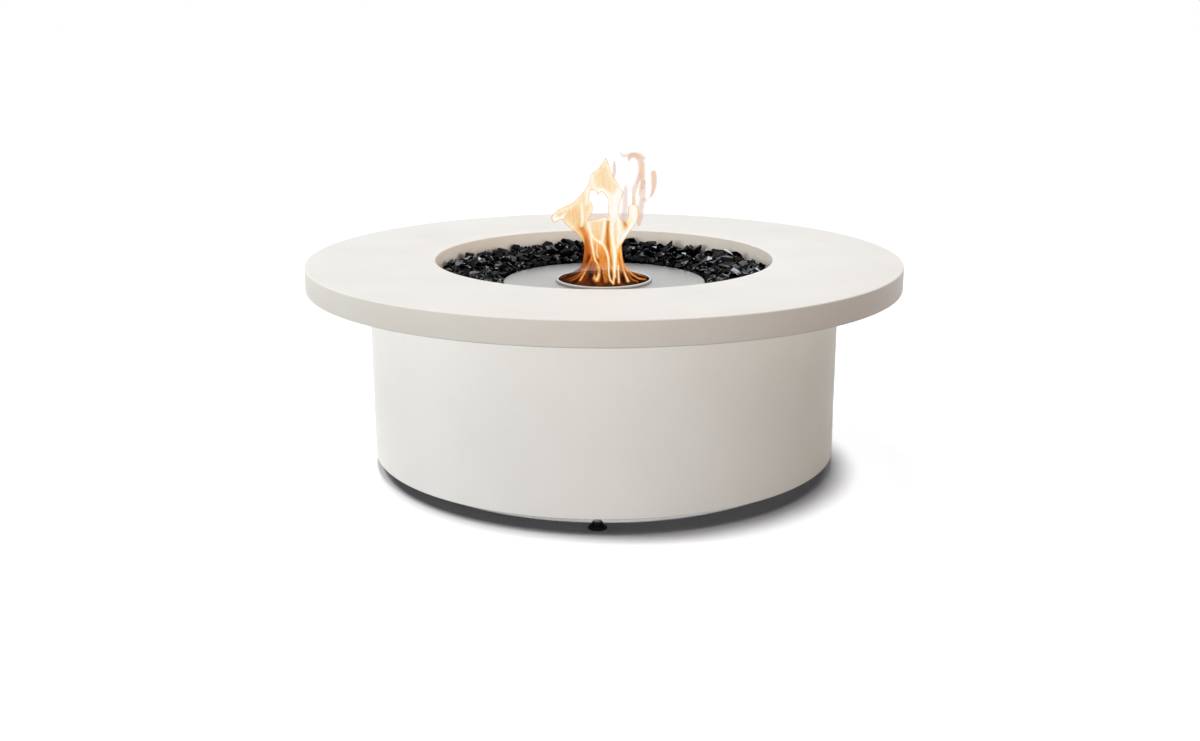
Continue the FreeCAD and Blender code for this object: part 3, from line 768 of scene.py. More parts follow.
def top_washer():
    """A flat washer, with the soft edge of a stamped one."""
    bm = bmesh.new()
    low, high = foot_of("top_washers"), top_of("top_washers")
    hole = BOLT + WASHER_CLEARANCE
    spun(bm, [
        (hole, low, WASHER_EDGE),
        (WASHER, low, WASHER_ROUND),
        (WASHER, high, WASHER_EDGE),
        (hole, high, WASHER_EDGE),
    ], steps=HARDWARE_STEPS)
    return bm


def insert(node, flats, radius):
    """A threaded insert or nut in a node's height: a hexagon with a bore."""
    return hex_blank(flats, foot_of(node), top_of(node), bore=radius + THREAD_GAP)


def fixings():
    """What holds the top down on the drum, and what the feet turn in."""
    for shape, circle, start, places, name, slot, coat, node in (
            (top_bolt(), BOLT_CIRCLE, BOLT_START, BOLTS,
             "hex_bolts", "zinc_plated_steel", ZINC, "top_bolts"),
            (top_washer(), BOLT_CIRCLE, BOLT_START, BOLTS,
             "flat_washers", "zinc_plated_steel", ZINC, "top_washers"),
            (insert("top_inserts", INSERT_FLATS, BOLT), BOLT_CIRCLE, BOLT_START, BOLTS,
             "cast_in_inserts_top", "brass", BRASS, "top_inserts"),
            (insert("foot_inserts", FOOT_INSERT_FLATS, STUD), FOOT_CIRCLE, FOOT_START, len(FEET),
             "cast_in_inserts_foot", "brass", BRASS, "foot_inserts"),
            (insert("lock_nuts", NUT_FLATS, STUD), FOOT_CIRCLE, FOOT_START, len(FEET),
             "hex_lock_nuts", "zinc_plated_steel", ZINC, "lock_nuts")):
        finished(set_round(shape, circle, start, places), name, "table", coat, [node])


def notched_pad():
    """A foot's pad about its own middle: a flared nylon foot with a notched rim to turn it by."""
    bm = bmesh.new()
    spun(bm, [
        (0, 0, 0),
        (PAD, 0, PAD_FOOT_ROUND),
        (PAD, PAD_RIM, PAD_ROUND),
        (PAD_NECK + PAD_FLARE, PAD_TOP - PAD_FLARE_HEIGHT, PAD_FLARE_ROUND),
        (PAD_NECK, PAD_TOP, PAD_ROUND),
        (PAD_BORE, PAD_TOP, PAD_BORE_ROUND),
        (PAD_BORE, PAD_FLOOR, 0),
        (0, PAD_FLOOR, 0),
    ], steps=6 * PAD_NOTCHES)
    for vert in bm.verts:
        out, turn = vert.co.xy.length, math.atan2(vert.co.y, vert.co.x)
        if out > PAD - MM and vert.co.z < PAD_RIM + MM:
            vert.co.xy *= 1 - NOTCH / PAD * max(math.cos(PAD_NOTCHES * turn), 0) ** 2
    return bm


def threaded_stud():
    """A foot's stud about its own middle: its foot in the pad, a hexagon to turn it by, and its thread."""
    top = top_of("foot_stud_front")
    collar_top = foot_of("lock_nuts")
    bm = bmesh.new()
    spun(bm, [
        (0, PAD_FLOOR + THREAD_GAP, 0),
        (STUD, PAD_FLOOR + THREAD_GAP, STUD_ROUND),
        (STUD, PAD_TOP, 0),
        (0, PAD_TOP, 0),
    ], steps=HARDWARE_STEPS)
    spun(bm, [
        (0, collar_top, 0),
        (THREAD_CORE * STUD, collar_top, 0),
        (THREAD_CORE * STUD, top - STUD_POINT, 0),
        (STUD_TIP, top, 0),
        (0, top, 0),
    ], steps=HARDWARE_STEPS)
    wound(bm, STUD, STUD_PITCH, collar_top + STUD_RUNIN, top - STUD_RUNOUT)
    return joined(bm, hex_blank(STUD_FLATS, PAD_TOP + THREAD_GAP, collar_top))


def levelling_feet():
    """The feet: each a pad on the floor, and the stud that turns in it."""
    pad, stud = notched_pad(), threaded_stud()
    for side, angle in FEET:
        for shape, name, body, slot, coat, node in (
                (pad, "nylon_pad", "foot", "black_nylon", NYLON, "foot_pad"),
                (stud, "threaded_stud", "stud", "zinc_plated_steel", ZINC, "foot_stud")):
            bm = shape.copy()
            bmesh.ops.translate(bm, verts=bm.verts, vec=round_spot(FOOT_CIRCLE, angle))
            finished(bm, f"{name}_{side}", f"{side}_{body}", coat, [f"{node}_{side}"])
    pad.free()
    stud.free()


# The glass. Chunks are poured on a grid of cells, and drawn between the shortest and longest length. Breadth
# and thickness are shares of it, and tilt is how far a chunk tips, in radians
GLASS_SEED = 7
GLASS_DROPS = 4700
GLASS_TRIES = 10
GLASS_CELL = 3 * MM
GLASS_CORNERS = (7, 10)
GLASS_LENGTH = (20 * MM, 41 * MM)
GLASS_BREADTH = (0.6, 0.9)
GLASS_THICKNESS = (0.4, 0.72)
GLASS_TILT = 0.45
GLASS_PARTS = ["back_right", "back_left", "front_left", "front_right"]
GLASS_INNER = PLATE + 1.5 * MM
GLASS_OUTER = BED_OUTER

# The glass lies low at the plate and rises to a crest, which it reaches before it meets the well's wall
GLASS_FOOT = PLATE_TOP + 5 * MM
GLASS_CREST = GLASS_TOP + 13 * MM
GLASS_SLOPE = 1.7

# A height that no chunk comes to, and how nearly upright a face is taken as a wall
OUT_OF_REACH = 1.0
WALL = 1e-3


def glass_chunk(rng):
    """A broken chunk about its own middle: the hull of a few chance points, tipped by chance."""
    bm = bmesh.new()
    half = rng.uniform(*GLASS_LENGTH) / 2
    extent = Vector((half, half * rng.uniform(*GLASS_BREADTH), half * rng.uniform(*GLASS_THICKNESS)))
    for _ in range(rng.randint(*GLASS_CORNERS)):
        way = Vector([rng.gauss(0, 1) for _ in range(3)]).normalized()
        bm.verts.new([a * b for a, b in zip(way, extent)])
    hull = bmesh.ops.convex_hull(bm, input=bm.verts)
    bmesh.ops.delete(bm, geom=list(set(hull["geom_interior"])), context="VERTS")
    tilt = Euler((rng.gauss(0, GLASS_TILT), rng.gauss(0, GLASS_TILT), rng.uniform(0, math.tau)))
    bmesh.ops.rotate(bm, verts=bm.verts, matrix=tilt.to_matrix())
    return bm


def footprint(chunk):
    """The cells that a chunk covers, with its lowest and highest point over each of them."""
    cells = math.ceil(GLASS_LENGTH[1] / 2 / GLASS_CELL)
    line = np.arange(-cells, cells + 1)
    across, along = [grid.ravel() for grid in np.meshgrid(line, line, indexing="ij")]
    low = np.full(across.shape, -OUT_OF_REACH)
    high = np.full(across.shape, OUT_OF_REACH)
    for face in chunk.faces:
        normal, reach = face.normal, face.normal.dot(face.verts[0].co)
        if abs(normal.z) < WALL:
            outside = (across * normal.x + along * normal.y) * GLASS_CELL > reach
            high[outside] = -OUT_OF_REACH
            continue
        level = (reach - (across * normal.x + along * normal.y) * GLASS_CELL) / normal.z
        if normal.z > 0:
            high = np.minimum(high, level)
        else:
            low = np.maximum(low, level)
    kept = high > low
    return across[kept], along[kept], low[kept], high[kept]


def lowest_spot(rng, level, across, along, low):
    """Where a chunk lies lowest, of a few chance spots: its height, column, row, angle and cells there."""
    span = len(level) // 2
    best = None
    for _ in range(GLASS_TRIES):
        angle = rng.uniform(0, math.tau)
        out = math.sqrt(rng.uniform(GLASS_INNER ** 2, GLASS_OUTER ** 2))
        column = round(out * math.cos(angle) / GLASS_CELL)
        row = round(out * math.sin(angle) / GLASS_CELL)
        cells = (across + column + span, along + row + span)
        if cells[0].min() < 0 or cells[1].min() < 0 or max(cells[0].max(), cells[1].max()) > 2 * span:
            continue
        rest = (level[cells] - low).max()
        if best is None or rest < best[0]:
            best = (rest, column, row, angle, cells)
    return best


def glass_limit(out):
    """How high the glass may stand this far from the centre line."""
    share = (out - GLASS_INNER) / (GLASS_OUTER - GLASS_INNER)
    return GLASS_FOOT + (GLASS_CREST - GLASS_FOOT) * min(1, GLASS_SLOPE * max(0, share))


def fire_glass_bed():
    """Black glass poured into the tray: each chunk drops to the lowest of a few spots and rests there."""
    rng = random.Random(GLASS_SEED)
    span = math.ceil(GLASS_OUTER / GLASS_CELL) + 2
    level = np.full((2 * span + 1, 2 * span + 1), TRAY_BOTTOM + SHEET)
    spots = np.arange(-span, span + 1) * GLASS_CELL
    radius = np.hypot(*np.meshgrid(spots, spots, indexing="ij"))
    level[(radius < GLASS_INNER) | (radius > GLASS_OUTER)] = OUT_OF_REACH
    quarters = [bmesh.new() for _ in GLASS_PARTS]
    for _ in range(GLASS_DROPS):
        chunk = glass_chunk(rng)
        across, along, low, high = footprint(chunk)
        found = lowest_spot(rng, level, across, along, low)
        if found is None or found[0] + high.max() > glass_limit(math.hypot(*found[1:3]) * GLASS_CELL):
            chunk.free()
            continue
        rest, column, row, angle, cells = found
        level[cells] = rest + high
        bmesh.ops.translate(chunk, verts=chunk.verts, vec=(column * GLASS_CELL, row * GLASS_CELL, rest))
        take_in(quarters[int(angle / math.tau * len(quarters)) % len(quarters)], as_mesh(chunk, "chunk"))
    return [finished(bm, f"fire_glass_{name}", "insert_tray", GLASS,
                     ["glass_bed", "glass_chips"], smooth_angle=0) for bm, name in zip(quarters, GLASS_PARTS)]


# The camera stands where the photograph was taken from, turned a little to the right of the front
CAMERA_DISTANCE = 3.0039
CAMERA_HEIGHT = 0.9677
CAMERA_TURN = math.radians(1.5)
CAMERA_DIP = 0.2554
CAMERA_PAN = -0.0026
CAMERA_ROLL = 0.0009
FOCAL_PIXELS = 1431.1
SENSOR = 36
FAR_CLIP = 100
EYE = Vector((CAMERA_DISTANCE * math.sin(CAMERA_TURN), -CAMERA_DISTANCE * math.cos(CAMERA_TURN),
              CAMERA_HEIGHT))


def camera():
    """The photograph's view."""
    data = bpy.data.cameras.new("camera")
    data.sensor_width = SENSOR
    data.lens = SENSOR * FOCAL_PIXELS / PHOTO_WIDTH
    data.clip_end = FAR_CLIP
    made = put("camera", data)
    made.location = EYE
    made.rotation_euler = (math.pi / 2 - CAMERA_DIP, CAMERA_ROLL, CAMERA_TURN - CAMERA_PAN)
    bpy.context.scene.camera = made


# Colours of burning gas from its coolest to its hottest: in the leaves, at the root and in the wisps
HEAT = ["#1A0A04", "#67300F", "#B05F22", "#DE8A38", "#F2AE62", "#F7CD94", "#FBE2B8", "#FFF3D8", "#FFFEFC"]
EMBER = ["#140703", "#46200D", "#823A14", "#C2611F", "#EA8834", "#FDAE54", "#FFD080", "#FFEBB4", "#FFFBEC"]
SMOKE = ["#BDB3B5", "#DFC0B2", "#F4CEAB"]
FLICKER = 0.06

# Strokes hotter than white heat have a halo, so many half widths wide, of this heat and cover. In the root
# they have it from a lower heat
WHITE_HOT = 0.85
HALO = 0.6
EMBER_HOT = 0.6
EMBER_HALO = 0.5
HALO_WIDTH = 2.2
HALO_COVER = 0.8

# A leaf of flame, in millimetres: its mesh's cells, the rims inset from its edge, how far it lies back and
# the wave of that, how far in it is as thick as told, in half thicknesses, and its edge's heat and breadth
LEAF_CELL = 3
LEAF_RIMS = (1.0, 1.6)
LEAF_LEAN = 12
LEAF_WAVE = 40
LEAF_FULL = 1.2
LEAF_EDGE_HEAT = 0.9
LEAF_EDGE_WIDTH = 7
NO_FADE = (0, 1)

# From a leaf's edge inwards, how much of its rim's heat and of its cover it has
RIM_PLACES = (0, LEAF_RIMS[0], sum(LEAF_RIMS))
RIM_HEAT = (1, 0.8, 0)
RIM_COVER = (0.3, 0.75, 1)

# A wisp's heat at its edge, as a share of that in its middle, and how fast its cover grows inwards
WISP_EDGE_HEAT = 0.5
WISP_SOFTNESS = 0.8

# The flame's skirt: its radius at the mouth and at the waist, how fast it narrows, how far it reaches below
# and above the ring's top, how far left it stands, and its mesh's steps round and up
SKIRT_MOUTH = MOUTH - 6 * MM
SKIRT_WAIST = 38 * MM
SKIRT_FLARE = 14 * MM
SKIRT_FOOT = 6 * MM
SKIRT_HEIGHT = 108 * MM
SKIRT_LEFT = 2 * MM
SKIRT_STEPS = (560, 80)
SKIRT_WELD = 1e-5

# Waves round the skirt, each with its share, its count and its start: folds of its radius, and its flutes
SKIRT_FOLDS = [(0.025, 9, 1), (0.02, 4, 0)]
SKIRT_FLUTES = [(1, 13, 2), (0.8, 23, 0), (0.6, 37, 1)]
FLUTE_DEPTH = 0.05

# The skirt's heat, its cover and how it fades, at heights in millimetres over the ring
SKIRT_HEAT = ((-6, 10, 30, 50, 70, 100), (0.14, 0.24, 0.36, 0.44, 0.5, 0.6))
SKIRT_COVER = ((-6, 0, 12, 30, 50, 70, 90, 108), (0, 0.4, 0.58, 0.6, 0.7, 0.75, 0.4, 0))
SKIRT_FADE = ((-6, -3, 75, 108), (0, 1, 1, 0))


def burning(name, colours):
    """Burning gas: its heat gives its colour, and it covers what is behind in part.

    It flickers a little, in streaks about 5 mm wide and 50 mm high.
    """
    made = bpy.data.materials.new(name)
    made.use_nodes = True
    tree = made.node_tree
    tree.nodes.clear()
    heat = add(tree, "ShaderNodeAttribute", {"attribute_name": "warmth"})
    cover = add(tree, "ShaderNodeAttribute", {"attribute_name": "cover"})
    streaks = add(tree, "ShaderNodeTexNoise", {"Scale": 1.0, "Detail": 2.0},
                  {"Vector": place(tree, (5 * MM, 5 * MM, 50 * MM))})
    flicker = add(tree, "ShaderNodeMapRange",
                  {"From Min": 0.3, "From Max": 0.7, "To Min": -FLICKER, "To Max": FLICKER},
                  {"Value": streaks.outputs["Fac"]})
    warmth = add(tree, "ShaderNodeMath", {"operation": "ADD"},
                 {0: heat.outputs["Fac"], 1: flicker.outputs[0]})
    tint = add(tree, "ShaderNodeValToRGB", {}, {"Fac": warmth.outputs[0]})
    stops = tint.color_ramp.elements
    stops[0].color, stops[1].color = linear(colours[0]), linear(colours[-1])
    for number, colour in enumerate(colours[1:-1], 1):
        stops.new(number / (len(colours) - 1)).color = linear(colour)
    glow = add(tree, "ShaderNodeEmission", {}, {"Color": tint.outputs["Color"]})
    clear = add(tree, "ShaderNodeBsdfTransparent")
    mixed = add(tree, "ShaderNodeMixShader", {},
                {0: cover.outputs["Fac"], 1: clear.outputs[0], 2: glow.outputs[0]})
    add(tree, "ShaderNodeOutputMaterial", {}, {"Surface": mixed.outputs[0]})
    return made


def seen(across, height, depth):
    """The place at this depth behind the centre line that the eye sees over (across, height) on it.

    The flame is drawn in millimetres on the upright plane through the centre line, with height over the ring.
    """
    spot = Vector((across * MM, 0, RING_TOP + height * MM))
    return EYE + (spot - EYE) * (1 - depth / EYE.y)


def drawn_over(spots):
    """Where on that plane the eye sees these places: how far across and how high, in millimetres."""
    flat = [EYE + (spot - EYE) * (EYE.y / (EYE.y - spot.y)) for spot in spots]
    across = np.array([spot.x / MM for spot in flat])
    height = np.array([(spot.z - RING_TOP) / MM for spot in flat])
    return across, height


# Farther than any place of the flame is from a line, in widths or millimetres
FAR_AWAY = 99.0


def away(line, across, height):
    """How far each place lies from a line of (across, height, width), as a share of its width there."""
    spots = np.stack([across, height], axis=-1)
    nearest = np.full(len(spots), FAR_AWAY)
    for (*start, wide), (*end, narrow) in zip(line, line[1:]):
        run = np.subtract(end, start)
        share = np.clip((spots - start) @ run / max(run @ run, 1e-9), 0, 1)
        apart = np.linalg.norm(spots - start - share[:, None] * run, axis=1)
        nearest = np.minimum(nearest, apart / (wide + (narrow - wide) * share))
    return nearest


def alight(bm, name, coat, heat, cover):
    """Sets a part of the flame over the burner. A flame isn't a piece of the table."""
    mesh = as_mesh(bm, name)
    mesh.shade_smooth()
    for label, values in (("warmth", heat), ("cover", cover)):
        mesh.attributes.new(label, "FLOAT", "POINT").data.foreach_set("value", np.clip(values, 0, 1))
    mesh.materials.append(coat)
    made = put(name, mesh)
    made.visible_shadow = False
    made.visible_diffuse = False
    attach(made, "burner")


def stroked(across, height, heat, cover, strokes, bright=WHITE_HOT, halo=HALO):
    """Heat and cover with strokes laid over them, each fading away from its line to the sides.

    A stroke hotter than bright has a halo, which warms and thickens what lies beside it.
    """
    for target, line in strokes:
        gap = away(line, across, height)
        near = np.exp(-gap ** 2)
        if target > bright:
            beside = np.exp(-(gap / HALO_WIDTH) ** 2)
            heat = np.maximum(heat, halo * beside)
            cover = np.maximum(cover, HALO_COVER * beside)
        heat = heat + (target - heat) * near
        cover = np.maximum(cover, near * target)
    return heat, cover


def curved(lines, thick):
    """Smooth curves that follow these lines of (x, y, z, radius): round tubes if thick, or else filled flat.

    A flat one is in millimetres, and its lines are closed outlines.
    """
    data = bpy.data.curves.new("curved", "CURVE")
    data.dimensions = "3D" if thick else "2D"
    data.fill_mode = "FULL" if thick else "BOTH"
    data.bevel_depth = 1 if thick else 0
    data.bevel_resolution = 4
    data.resolution_u = 8 if thick else 6
    data.use_fill_caps = thick
    for line in lines:
        spline = data.splines.new("NURBS")
        spline.points.add(len(line) - 1)
        for point, (*spot, radius) in zip(spline.points, line):
            point.co = (*spot, 1)
            point.radius = radius
        spline.order_u = 3
        spline.use_endpoint_u = thick
        spline.use_cyclic_u = not thick
    guide = put("curved", data)
    mesh = bpy.data.meshes.new_from_object(guide.evaluated_get(bpy.context.evaluated_depsgraph_get()))
    bpy.data.objects.remove(guide)
    bm = take_in(bmesh.new(), mesh)
    bmesh.ops.remove_doubles(bm, verts=bm.verts, dist=1e-7 if thick else 1e-4)
    return bm


def gridded(bm):
    """Cuts a flat leaf into small cells, inside rims that follow its edge."""
    middle = bm.faces[:]
    for width in LEAF_RIMS:
        bmesh.ops.inset_region(bm, faces=middle, thickness=width, use_even_offset=False, use_boundary=True)
        middle = [f for f in bm.faces if all(len(e.link_faces) > 1 for e in f.edges)]
    for axis in (0, 1):
        way = Vector((axis == 0, axis == 1, 0))
        low, high = min(v.co[axis] for v in bm.verts), max(v.co[axis] for v in bm.verts)
        for step in range(1, math.ceil((high - low) / LEAF_CELL)):
            bmesh.ops.bisect_plane(bm, geom=bm.verts[:] + bm.edges[:] + bm.faces[:],
                                   plane_co=way * (low + step * LEAF_CELL), plane_no=way, dist=1e-4)


def leaf(name, coat, outlines, half, inner, cover, depth=0, rim=0.45, strokes=(), fade=NO_FADE):
    """A swollen leaf of flame inside outlines of (across, height), half as thick as told to each side.

    Its rim is a thin duller line, and inside that it is as hot as told, under the strokes. It is clear below
    the first height of its fade and whole above the second.
    """
    bm = curved([[(*point, 0, 1) for point in outline] for outline in outlines], thick=False)
    edge = [(*e.verts[0].co.xy, *e.verts[1].co.xy) for e in bm.edges if len(e.link_faces) == 1]
    gridded(bm)
    twin = bmesh.ops.duplicate(bm, geom=bm.verts[:] + bm.edges[:] + bm.faces[:])
    far = {v for v in twin["geom"] if isinstance(v, bmesh.types.BMVert)}
    across, height = np.array([v.co.xy for v in bm.verts]).T
    inward = np.full(len(across), FAR_AWAY)
    for x0, y0, x1, y1 in edge:
        inward = np.minimum(inward, away([(x0, y0, 1), (x1, y1, 1)], across, height))
    for vert, share in zip(bm.verts, np.minimum(inward / (LEAF_FULL * half), 1)):
        swollen = half * math.sqrt(1 - (1 - share) ** 2)
        lean = LEAF_LEAN * math.sin(vert.co.y / LEAF_WAVE) + depth
        vert.co = seen(vert.co.x, vert.co.y, (lean + (swollen if vert in far else -swollen)) * MM)
    heat = inner + (LEAF_EDGE_HEAT - inner) * np.exp(-(inward / LEAF_EDGE_WIDTH) ** 2)
    heat, cover = stroked(across, height, heat, np.full(len(across), cover), strokes)
    heat = heat + (rim - heat) * np.interp(inward, RIM_PLACES, RIM_HEAT)
    cover = cover * np.interp(inward, RIM_PLACES, RIM_COVER) * np.interp(height, fade, (0, 1))
    alight(bm, name, coat, heat, cover)


def tongue(name, coat, heat, cover, line, depth=6):
    """A soft wisp of flame along points of (across, height, radius), clear at its edges."""
    bm = curved([[(*seen(x, z, depth * MM), radius * MM) for x, z, radius in line]], thick=True)
    middle = np.clip(1 - away(line, *drawn_over([v.co for v in bm.verts])) ** 2, 0, 1)
    alight(bm, name, coat, heat * (WISP_EDGE_HEAT + (1 - WISP_EDGE_HEAT) * middle),
           cover * middle ** WISP_SOFTNESS)


def skirt_radius(height):
    """The flame's reach from the centre line: wide at the mouth and drawn in to the waist."""
    return SKIRT_WAIST + (SKIRT_MOUTH - SKIRT_WAIST) * math.exp(-max(height, 0) / SKIRT_FLARE)


def waves(turn, parts, level=0):
    """The sum of waves round the skirt at this angle, over a level."""
    return sum((share * np.cos(count * turn + start) for share, count, start in parts), level)


def flame_skirt(coat):
    """The thin streaky veil of flame that gathers from the mouth to the waist, and fades as it rises."""
    bm = bmesh.new()
    bmesh.ops.create_grid(bm, x_segments=SKIRT_STEPS[0], y_segments=SKIRT_STEPS[1], size=1)
    for vert in bm.verts:
        turn = math.pi * vert.co.x
        level = (SKIRT_HEIGHT + SKIRT_FOOT) * (vert.co.y + 1) / 2 - SKIRT_FOOT
        reach = skirt_radius(level)
        vert.co = (reach * math.cos(turn), reach * math.sin(turn), RING_TOP + level)
    bmesh.ops.remove_doubles(bm, verts=bm.verts, dist=SKIRT_WELD)
    angle = np.array([math.atan2(v.co.y, v.co.x) for v in bm.verts])
    level = np.array([(v.co.z - RING_TOP) / MM for v in bm.verts])
    for vert, turn in zip(bm.verts, angle):
        vert.co.xy *= waves(turn, SKIRT_FOLDS, 1)
        vert.co.x -= SKIRT_LEFT
    across, height = drawn_over([Vector((v.co.x, -abs(v.co.y), v.co.z)) for v in bm.verts])
    flutes = FLUTE_DEPTH * waves(angle, SKIRT_FLUTES)
    heat = np.interp(level, *SKIRT_HEAT) + flutes
    cover = np.clip(np.interp(level, *SKIRT_COVER) + flutes, 0, 1)
    heat, cover = stroked(across, height, heat, cover, STROKES, EMBER_HOT, EMBER_HALO)
    bmesh.ops.recalc_face_normals(bm, faces=bm.faces)
    alight(bm, "flame_skirt", coat, heat, cover * np.interp(level, *SKIRT_FADE))


# The flame as the eye sees it, in millimetres across and over the ring: outlines of its leaves, strokes with
# their heat and half widths, and wisps with their heat, cover and half widths
FLAME_OUTLINE = [
    (-112, 126), (-109, 135), (-100, 143), (-92, 148), (-80, 154), (-70, 158), (-60, 165),
    (-52, 173), (-45, 182), (-39, 190), (-33, 200), (-31, 207), (-30, 214), (-27, 221), (-20, 226),
    (-11, 232), (-7, 239), (-2, 247), (4, 258), (9, 247), (13, 234), (17, 221), (25, 209),
    (31, 201), (34, 190), (42, 186), (40, 175), (36, 165), (32, 152), (31, 141), (33, 132),
    (38, 121), (46, 119), (50, 129), (51, 142), (51, 152), (58, 158), (70, 158), (74, 148),
    (74, 129), (68, 115), (62, 106), (56, 100), (49, 89), (42, 78), (37, 70), (34, 50), (0, 43),
    (-34, 48), (-41, 65), (-43, 74), (-47, 83), (-52, 91), (-60, 97), (-70, 105), (-78, 112),
    (-86, 123), (-93, 124), (-99, 118), (-108, 118),
]
BODY_FADE = (44, 72)
FLAME_HOLE = [
    (-27, 190), (-21, 184), (-17, 185), (-13, 174), (-9, 181), (-3, 183), (4, 175), (9, 166),
    (10, 156), (7, 145), (9, 135), (11, 127), (2, 132), (-8, 128), (-20, 125), (-35, 122),
    (-28, 131), (-27, 138), (-23, 144), (-23, 152), (-25, 162), (-31, 163), (-31, 171), (-28, 181),
]
BELL_VEIL = [(-36, 122), (-34, 139), (-26, 138), (-12, 137), (0, 139), (10, 142), (11, 127), (0, 130),
             (-14, 126)]
SIDE_VEIL = [(60, 171), (70, 169), (80, 183), (80, 200), (72, 202), (62, 196), (58, 185)]
STROKES = [
    (0.62, [(-90, 137, 8), (-75, 137, 15), (-58, 137, 18), (-50, 117, 15), (-56, 103, 8)]),
    (0.80, [(-100, 138, 3), (-85, 144, 4), (-72, 149, 4), (-60, 159, 4), (-50, 169, 4), (-42, 182, 4)]),
    (0.34, [(-48, 109, 6), (-42, 96, 8), (-37, 78, 8), (-35, 59, 8), (-37, 41, 8), (-44, 27, 7),
            (-56, 14, 6)]),
    (0.68, [(-18, 117, 9), (-15, 103, 8), (-12, 90, 6)]),
    (0.71, [(-6, 233, 4), (-4, 212, 6), (2, 196, 5)]),
    (0.22, [(-30, 43, 5), (-38, 22, 7)]),
    (0.28, [(9, 121, 3), (8, 103, 5), (8, 86, 5.5), (9, 71, 5), (11, 57, 3), (13, 41, 2.5), (16, 26, 2)]),
    (0.36, [(42, 121, 4), (46, 113, 5), (50, 102, 4)]),
    (0.06, [(-30, 12, 6), (-27, 0, 7)]),
    (0.06, [(-5, 15, 3), (-4, -6, 3)]),
    (0.08, [(17, 12, 2), (16, 2, 2)]),
    (0.06, [(41, 4, 5), (38, -8, 4)]),
    (0.03, [(66, 11, 6), (80, 6, 5), (90, 2, 4)]),
    (0.10, [(-76, 4, 5), (-62, 7, 6), (-52, 14, 4)]),
    (0.54, [(0, 65, 3), (1, 44, 4.5), (3, 25, 5), (4, 8, 5), (5, -8, 4)]),
    (1.00, [(31, 187, 5), (27, 173, 10), (22, 156, 9), (20, 141, 8), (19, 127, 6), (17, 112, 4.5),
            (17, 98, 4.5), (19, 83, 5), (21, 67, 6), (23, 49, 6.5), (23, 31, 5.4), (22, 15, 3.6),
            (23, 2, 3)]),
    (0.97, [(33, 137, 3), (32, 115, 5), (33, 98, 6.5), (30, 82, 6), (28, 67, 5)]),
    (0.70, [(23, 115, 1.5), (24, 98, 1.8), (25, 83, 1.8), (26, 71, 1.5)]),
    (0.98, [(62, 153, 6), (63, 141, 8), (62, 127, 7), (58, 111, 6), (50, 99, 6), (42, 88, 5), (35, 76, 4)]),
    (0.97, [(-33, 117, 2.5), (-31, 104, 3), (-27, 93, 3), (-20, 84, 3), (-12, 78, 3), (-4, 74, 3)]),
    (0.97, [(2, 127, 3), (1, 112, 3), (-1, 96, 3), (-3, 83, 3), (-4, 75, 3), (1, 67, 3), (6, 56, 2.6),
            (9, 44, 2.4), (10, 25, 2.2), (11, 5, 2), (14, -6, 2), (20, -12, 2)]),
    (0.97, [(-28, 90, 2.2), (-26, 76, 2.2), (-23, 59, 2.2), (-19, 39, 2.2), (-13, 29, 2.2)]),
    (0.72, [(-13, 29, 2.2), (-10, 16, 2.2), (-11, 4, 3), (-15, -4, 4.6), (-20, -2, 3), (-20, 6, 1)]),
    (0.95, [(-11, 8, 1.2), (-13, -1, 2), (-16, -5, 2.2)]),
    (0.94, [(-33, 123, 2.5), (-20, 124, 3.5), (-8, 126, 3.5), (4, 128, 3)]),
    (0.68, [(34, 61, 3), (36, 47, 3.2), (38, 33, 3), (41, 20, 2.4), (46, 6, 2), (52, -7, 2.4)]),
    (0.92, [(44, 10, 1), (48, 2, 1.6), (51, -7, 2.4)]),
    (0.95, [(24, 20, 3), (22, 4, 2.4), (20, -12, 2.2)]),
    (0.95, [(30, 26, 2), (31, 10, 2), (32, -10, 2.2)]),
    (0.66, [(38, 54, 1.2), (47, 25, 1.2), (60, 7, 1.1), (75, -2, 1.1), (89, -3, 1)]),
    (0.56, [(50, 24, 1), (58, 12, 1), (70, 2, 1), (85, -3, 0.9)]),
    (0.60, [(44, 28, 1.2), (52, 10, 1.2), (60, -4, 1.2), (72, -8, 1)]),
    (0.58, [(-25, 46, 1.3), (-29, 35, 1.4), (-33, 24, 1.5), (-39, 14, 1.7), (-45, 5, 2), (-51, -6, 2.6)]),
    (0.80, [(-40, 11, 0.8), (-45, 3, 1.1), (-51, -6, 1.6)]),
    (0.48, [(-26, 38, 1.1), (-33, 27, 1.2), (-40, 17, 1.3), (-50, 7, 1.4), (-60, -2, 1.4), (-72, -7, 1.2)]),
    (0.42, [(-30, 30, 1), (-44, 14, 1.1), (-58, 4, 1.2), (-76, -4, 1)]),
    (0.58, [(-4, 42, 1.6), (-2, 22, 1.8), (0, 4, 2), (2, -9, 2)]),
    (0.76, [(-14, 71, 1.6), (-15, 55, 2), (-13, 43, 1.8)]),
    (1.00, [(-104, 126, 5), (-97, 126, 4.5), (-89, 129, 3), (-82, 137, 2)]),
    (0.93, [(-33, 198, 2), (-35, 185, 2.6), (-36, 170, 2.6), (-38, 156, 1.8)]),
    (0.96, [(-47, 158, 2), (-46, 141, 3), (-45, 125, 3), (-47, 111, 2)]),
    (0.94, [(-25, 215, 4), (-23, 202, 4), (-20, 191, 4)]),
    (0.96, [(-13, 186, 4), (-3, 188, 4), (6, 182, 4.5), (13, 171, 5), (17, 161, 5)]),
]
